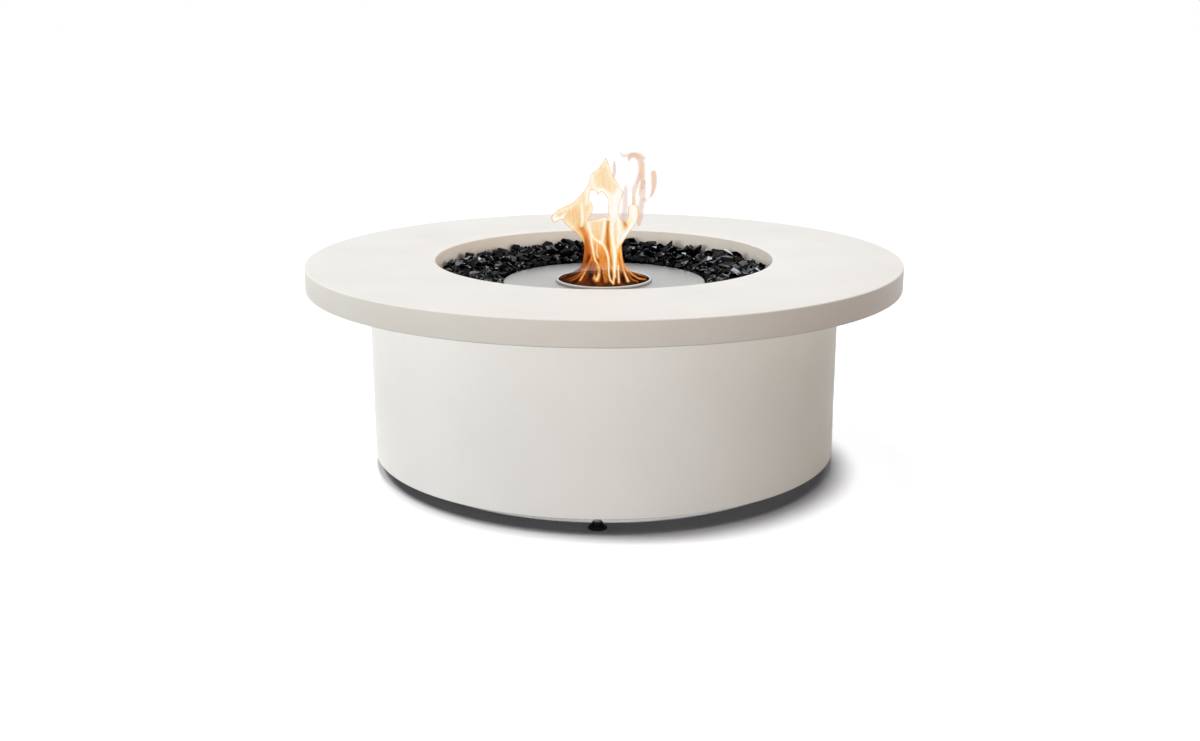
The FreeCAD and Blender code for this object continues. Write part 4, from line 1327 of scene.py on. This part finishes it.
WISPS = [
    (0.85, 0.75, [(80, 190, 4), (82, 206, 6), (80, 221, 8), (79, 237, 9), (77, 250, 8.5), (68, 258, 7),
                  (58, 260, 6), (52, 253, 4.5), (51, 246, 1)]),
    (0.90, 0.75, [(63, 155, 5), (63, 166, 6), (62, 173, 3)]),
    (0.80, 0.5, [(70, 200, 4), (74, 214, 5), (77, 230, 4)]),
    (0.60, 0.6, [(19, 208, 1), (22, 222, 5), (22, 235, 5.5), (22, 249, 2)]),
    (0.85, 0.8, [(97, 173, 1), (102, 182, 4.5), (105, 194, 6.5), (105, 208, 8), (104, 220, 8),
                 (104, 228, 5)]),
    (0.50, 0.45, [(33, 266, 2), (40, 258, 5), (50, 260, 6), (62, 263, 7), (78, 260, 7), (88, 252, 3)]),
]
SMOKES = [
    (0.6, 0.55, [(73, 112, 4), (76, 130, 8), (79, 156, 9), (81, 175, 9), (82, 192, 9), (83, 208, 6)]),
    (0.4, 0.45, [(40, 112, 5), (43, 137, 9), (45, 156, 9), (45, 173, 8), (46, 185, 7), (46, 198, 3)]),
    (0.6, 0.4, [(62, 172, 4), (63, 189, 8), (67, 200, 8), (72, 210, 7), (75, 222, 5)]),
    (0.2, 0.25, [(80, 167, 4), (90, 166, 7), (100, 173, 6), (104, 182, 2)]),
]


def flame():
    """The bioethanol flame: a streaky skirt that clings to the mouth, swollen leaves above it, and wisps."""
    fire = burning("flame", HEAT)
    smoke = burning("flame_smoke", SMOKE)
    flame_skirt(burning("flame_root", EMBER))
    leaf("flame_body", fire, [FLAME_OUTLINE, FLAME_HOLE], 17, 0.72, 0.8, strokes=STROKES, fade=BODY_FADE)
    leaf("flame_bell_veil", smoke, [BELL_VEIL], 5, 0.3, 0.25, depth=10, rim=0.2)
    leaf("flame_side_veil", smoke, [SIDE_VEIL], 5, 0.7, 0.2, depth=12, rim=0.6)
    for number, (heat, cover, line) in enumerate(WISPS):
        tongue(f"flame_wisp_{number}", smoke, heat, cover, line)
    for number, (heat, cover, line) in enumerate(SMOKES):
        tongue(f"flame_smoke_{number}", smoke, heat, cover, line, depth=9)


def hang(data, azimuth, elevation):
    """Hangs a lamp that shines from this azimuth, 0 at the front and 90 at the right, and this elevation."""
    made = put(data.name, data)
    around, up = math.radians(azimuth), math.radians(elevation)
    source = Vector((math.sin(around) * math.cos(up), -math.cos(around) * math.cos(up), math.sin(up)))
    made.rotation_euler = source.to_track_quat("Z", "Y").to_euler()
    return made


def sun(name, strength, softness, azimuth, elevation, shade="#FFFFFF"):
    """A soft lamp far away."""
    data = bpy.data.lights.new(name, "SUN")
    data.energy = strength
    data.angle = math.radians(softness)
    data.color = linear(shade)[:3]
    return hang(data, azimuth, elevation)


def flags(lamp, use, state, *things):
    """Keeps a lamp's light off these things or on them alone, or stops them from shading it."""
    group = bpy.data.collections.new(f"{lamp.name}_{use}")
    for thing in things:
        group.objects.link(thing)
    for link in group.collection_objects:
        link.light_linking.link_state = state
    setattr(lamp.light_linking, f"{use}_collection", group)


def seen_white(tree, plain, lit):
    """The eye, metal and glass see the plain shader, and the rest of the light meets the other."""
    rays = add(tree, "ShaderNodeLightPath")
    either = add(tree, "ShaderNodeMath", {"operation": "MAXIMUM"},
                 {0: rays.outputs["Is Camera Ray"], 1: rays.outputs["Is Transmission Ray"]})
    any_of = add(tree, "ShaderNodeMath", {"operation": "MAXIMUM"},
                 {0: either.outputs[0], 1: rays.outputs["Is Glossy Ray"]})
    return add(tree, "ShaderNodeMixShader", {}, {0: any_of.outputs[0], 1: lit, 2: plain}).outputs[0]


# The light from all round, at its left and right, and what the floor throws back
WORLD_LEFT = "#737372"
WORLD_RIGHT = "#3E3935"
FLOOR_BOUNCE = "#545352"

# Far lamps, as strength, softness, azimuth and elevation in degrees, and colour
FLOOR_LAMPS = [("floor_behind", 2.67, 11, -164, 81), ("floor_left", 1.12, 13, -109, 60)]
FLOOR_FILL = (0.075, 30, 0, 90, "#0077FF")
HIGH_LAMP = (2.0, 28, -165, 78, "#FBFCFF")
GLINTS = [(0.1, 5, -165, 60), (1.2, 24, 150, 35), (0.8, 20, -120, 50), (0.8, 20, 60, 40)]
GLINT_SHADE = "#E6EEFF"

# Lamps round the walls: their azimuth, and their strength and colour on the top and then on the drum. The two
# in front hang a little higher over the top, which doesn't shade itself from them but does shade the drum
SIDE_LAMPS = [
    (-135, 0.60, "#FFFCF6", 0.64, "#FFF9F4"),
    (-90, 0.20, "#FFF6E8", 0.93, "#FFFEFA"),
    (-45, 1.62, "#FFFEFA", 0.66, "#F4FAFF"),
    (0, 0.05, "#FDFDFF", 1.26, "#FDFCFF"),
    (45, 0.78, "#FFE6D6", 0.28, "#FFD892"),
    (150, 0.80, "#FFF8F2", 0.40, "#FFF7E3"),
]
SIDE_SOFTNESS = 60
FRONT_LAMPS = (-45, 45)
FRONT_ELEVATION = 12

# The fire's own light
FIRELIGHT = 1.0
FIRELIGHT_RADIUS = 50 * MM
FIRELIGHT_SHADE = "#FFFAF3"
FIRELIGHT_SPOT = (-100 * MM, 60 * MM, RING_TOP + 60 * MM)

# The floor reaches this far each way, and has a soft dark disc under the drum
FLOOR_REACH = 40
SHADE_CENTRE = (6 * MM, -40 * MM)
SHADE_INNER = 461 * MM
SHADE_OUTER = 480 * MM
SHADE = 0.42


def backdrop():
    """White for the eye, with a light that is stronger from the left and warmer from the right."""
    world = bpy.data.worlds.new("studio")
    bpy.context.scene.world = world
    world.use_nodes = True
    tree = world.node_tree
    tree.nodes.clear()
    way = add(tree, "ShaderNodeTexCoord").outputs["Generated"]
    sides = add(tree, "ShaderNodeSeparateXYZ", {}, {"Vector": way})
    across = add(tree, "ShaderNodeMapRange", {"From Min": -1.0, "From Max": 1.0},
                 {"Value": sides.outputs["X"]})
    fade = add(tree, "ShaderNodeValToRGB", {}, {"Fac": across.outputs["Result"]})
    left, right = fade.color_ramp.elements
    left.color, right.color = linear(WORLD_LEFT), linear(WORLD_RIGHT)
    light = add(tree, "ShaderNodeBackground", {}, {"Color": fade.outputs["Color"]})
    plain = add(tree, "ShaderNodeBackground", {"Color": linear("#FFFFFF")})
    add(tree, "ShaderNodeOutputWorld", {}, {"Surface": seen_white(tree, plain.outputs[0], light.outputs[0])})


def floor():
    """A white floor. It throws less light back than it shows, as a studio's grey one does.

    A soft dark disc stands for the shade in the narrow gap under the drum.
    """
    bm = bmesh.new()
    bmesh.ops.create_grid(bm, x_segments=1, y_segments=1, size=FLOOR_REACH)
    mesh = as_mesh(bm, "studio_floor")
    made = put("studio_floor", mesh)
    coat = bpy.data.materials.new("studio_floor_white")
    coat.use_nodes = True
    tree = coat.node_tree
    tree.nodes.clear()
    spot = add(tree, "ShaderNodeTexCoord").outputs["Object"]
    middle = add(tree, "ShaderNodeMapping", {"Location": (-SHADE_CENTRE[0], -SHADE_CENTRE[1], 0)},
                 {"Vector": spot})
    out = add(tree, "ShaderNodeVectorMath", {"operation": "LENGTH"}, {0: middle.outputs["Vector"]})
    fade = add(tree, "ShaderNodeMapRange", {"interpolation_type": "SMOOTHSTEP", "From Min": SHADE_INNER,
                                            "From Max": SHADE_OUTER, "To Min": SHADE, "To Max": 1.0},
               {"Value": out.outputs["Value"]})
    plain = add(tree, "ShaderNodeBsdfDiffuse", {}, {"Color": fade.outputs["Result"]})
    dull = add(tree, "ShaderNodeBsdfDiffuse", {"Color": linear(FLOOR_BOUNCE)})
    add(tree, "ShaderNodeOutputMaterial", {},
        {"Surface": seen_white(tree, plain.outputs[0], dull.outputs[0])})
    mesh.materials.append(coat)
    return made


def studio(top, drum, glass):
    """The light: lamps for the floor's shadow, for the top, for glints on the glass and round the walls.

    The photographed object was lit apart from its shadow, so most lamps light only some of the things.
    """
    bpy.context.scene.view_settings.view_transform = "Standard"
    backdrop()
    ground = floor()
    for told in FLOOR_LAMPS:
        lamp = sun(*told)
        flags(lamp, "receiver", "INCLUDE", ground)
        flags(lamp, "blocker", "EXCLUDE", top)
    fill = sun("floor_fill", *FLOOR_FILL)
    flags(fill, "receiver", "INCLUDE", ground)
    flags(fill, "blocker", "EXCLUDE", top, drum)
    high = sun("high", *HIGH_LAMP)
    high.visible_glossy = False
    flags(high, "receiver", "EXCLUDE", ground, *glass)
    flags(high, "blocker", "EXCLUDE", top)
    for number, glint in enumerate(GLINTS):
        lamp = sun(f"glass_glint_{number}", *glint, GLINT_SHADE)
        flags(lamp, "receiver", "INCLUDE", *glass)
        flags(lamp, "blocker", "EXCLUDE", top)
    for azimuth, on_top, top_shade, on_drum, drum_shade in SIDE_LAMPS:
        in_front = azimuth in FRONT_LAMPS
        elevation = FRONT_ELEVATION if in_front else 0
        lamp = sun(f"side_{azimuth}", on_top, SIDE_SOFTNESS, azimuth, elevation, top_shade)
        lamp.visible_glossy = False
        flags(lamp, "receiver", "EXCLUDE", ground, drum, *glass)
        flags(lamp, "blocker", "EXCLUDE", ground, *((drum, top) if in_front else ()))
        lamp = sun(f"drum_side_{azimuth}", on_drum, SIDE_SOFTNESS, azimuth, 0, drum_shade)
        lamp.visible_glossy = False
        flags(lamp, "receiver", "INCLUDE", drum)
        flags(lamp, "blocker", "EXCLUDE", ground, *(() if in_front else (top,)))
    glow = bpy.data.lights.new("firelight", "POINT")
    glow.energy = FIRELIGHT
    glow.shadow_soft_size = FIRELIGHT_RADIUS
    glow.color = linear(FIRELIGHT_SHADE)[:3]
    fire = hang(glow, 0, 90)
    fire.location = FIRELIGHT_SPOT
    fire.visible_glossy = False


camera()
studio(table_top(), base_drum(), fire_glass_bed())
bedding_strip()
fixings()
levelling_feet()
insert_tray()
fuel_casing()
top_plate()
neck()
baffle()
level_strip()
efficiency_ring()
flame()
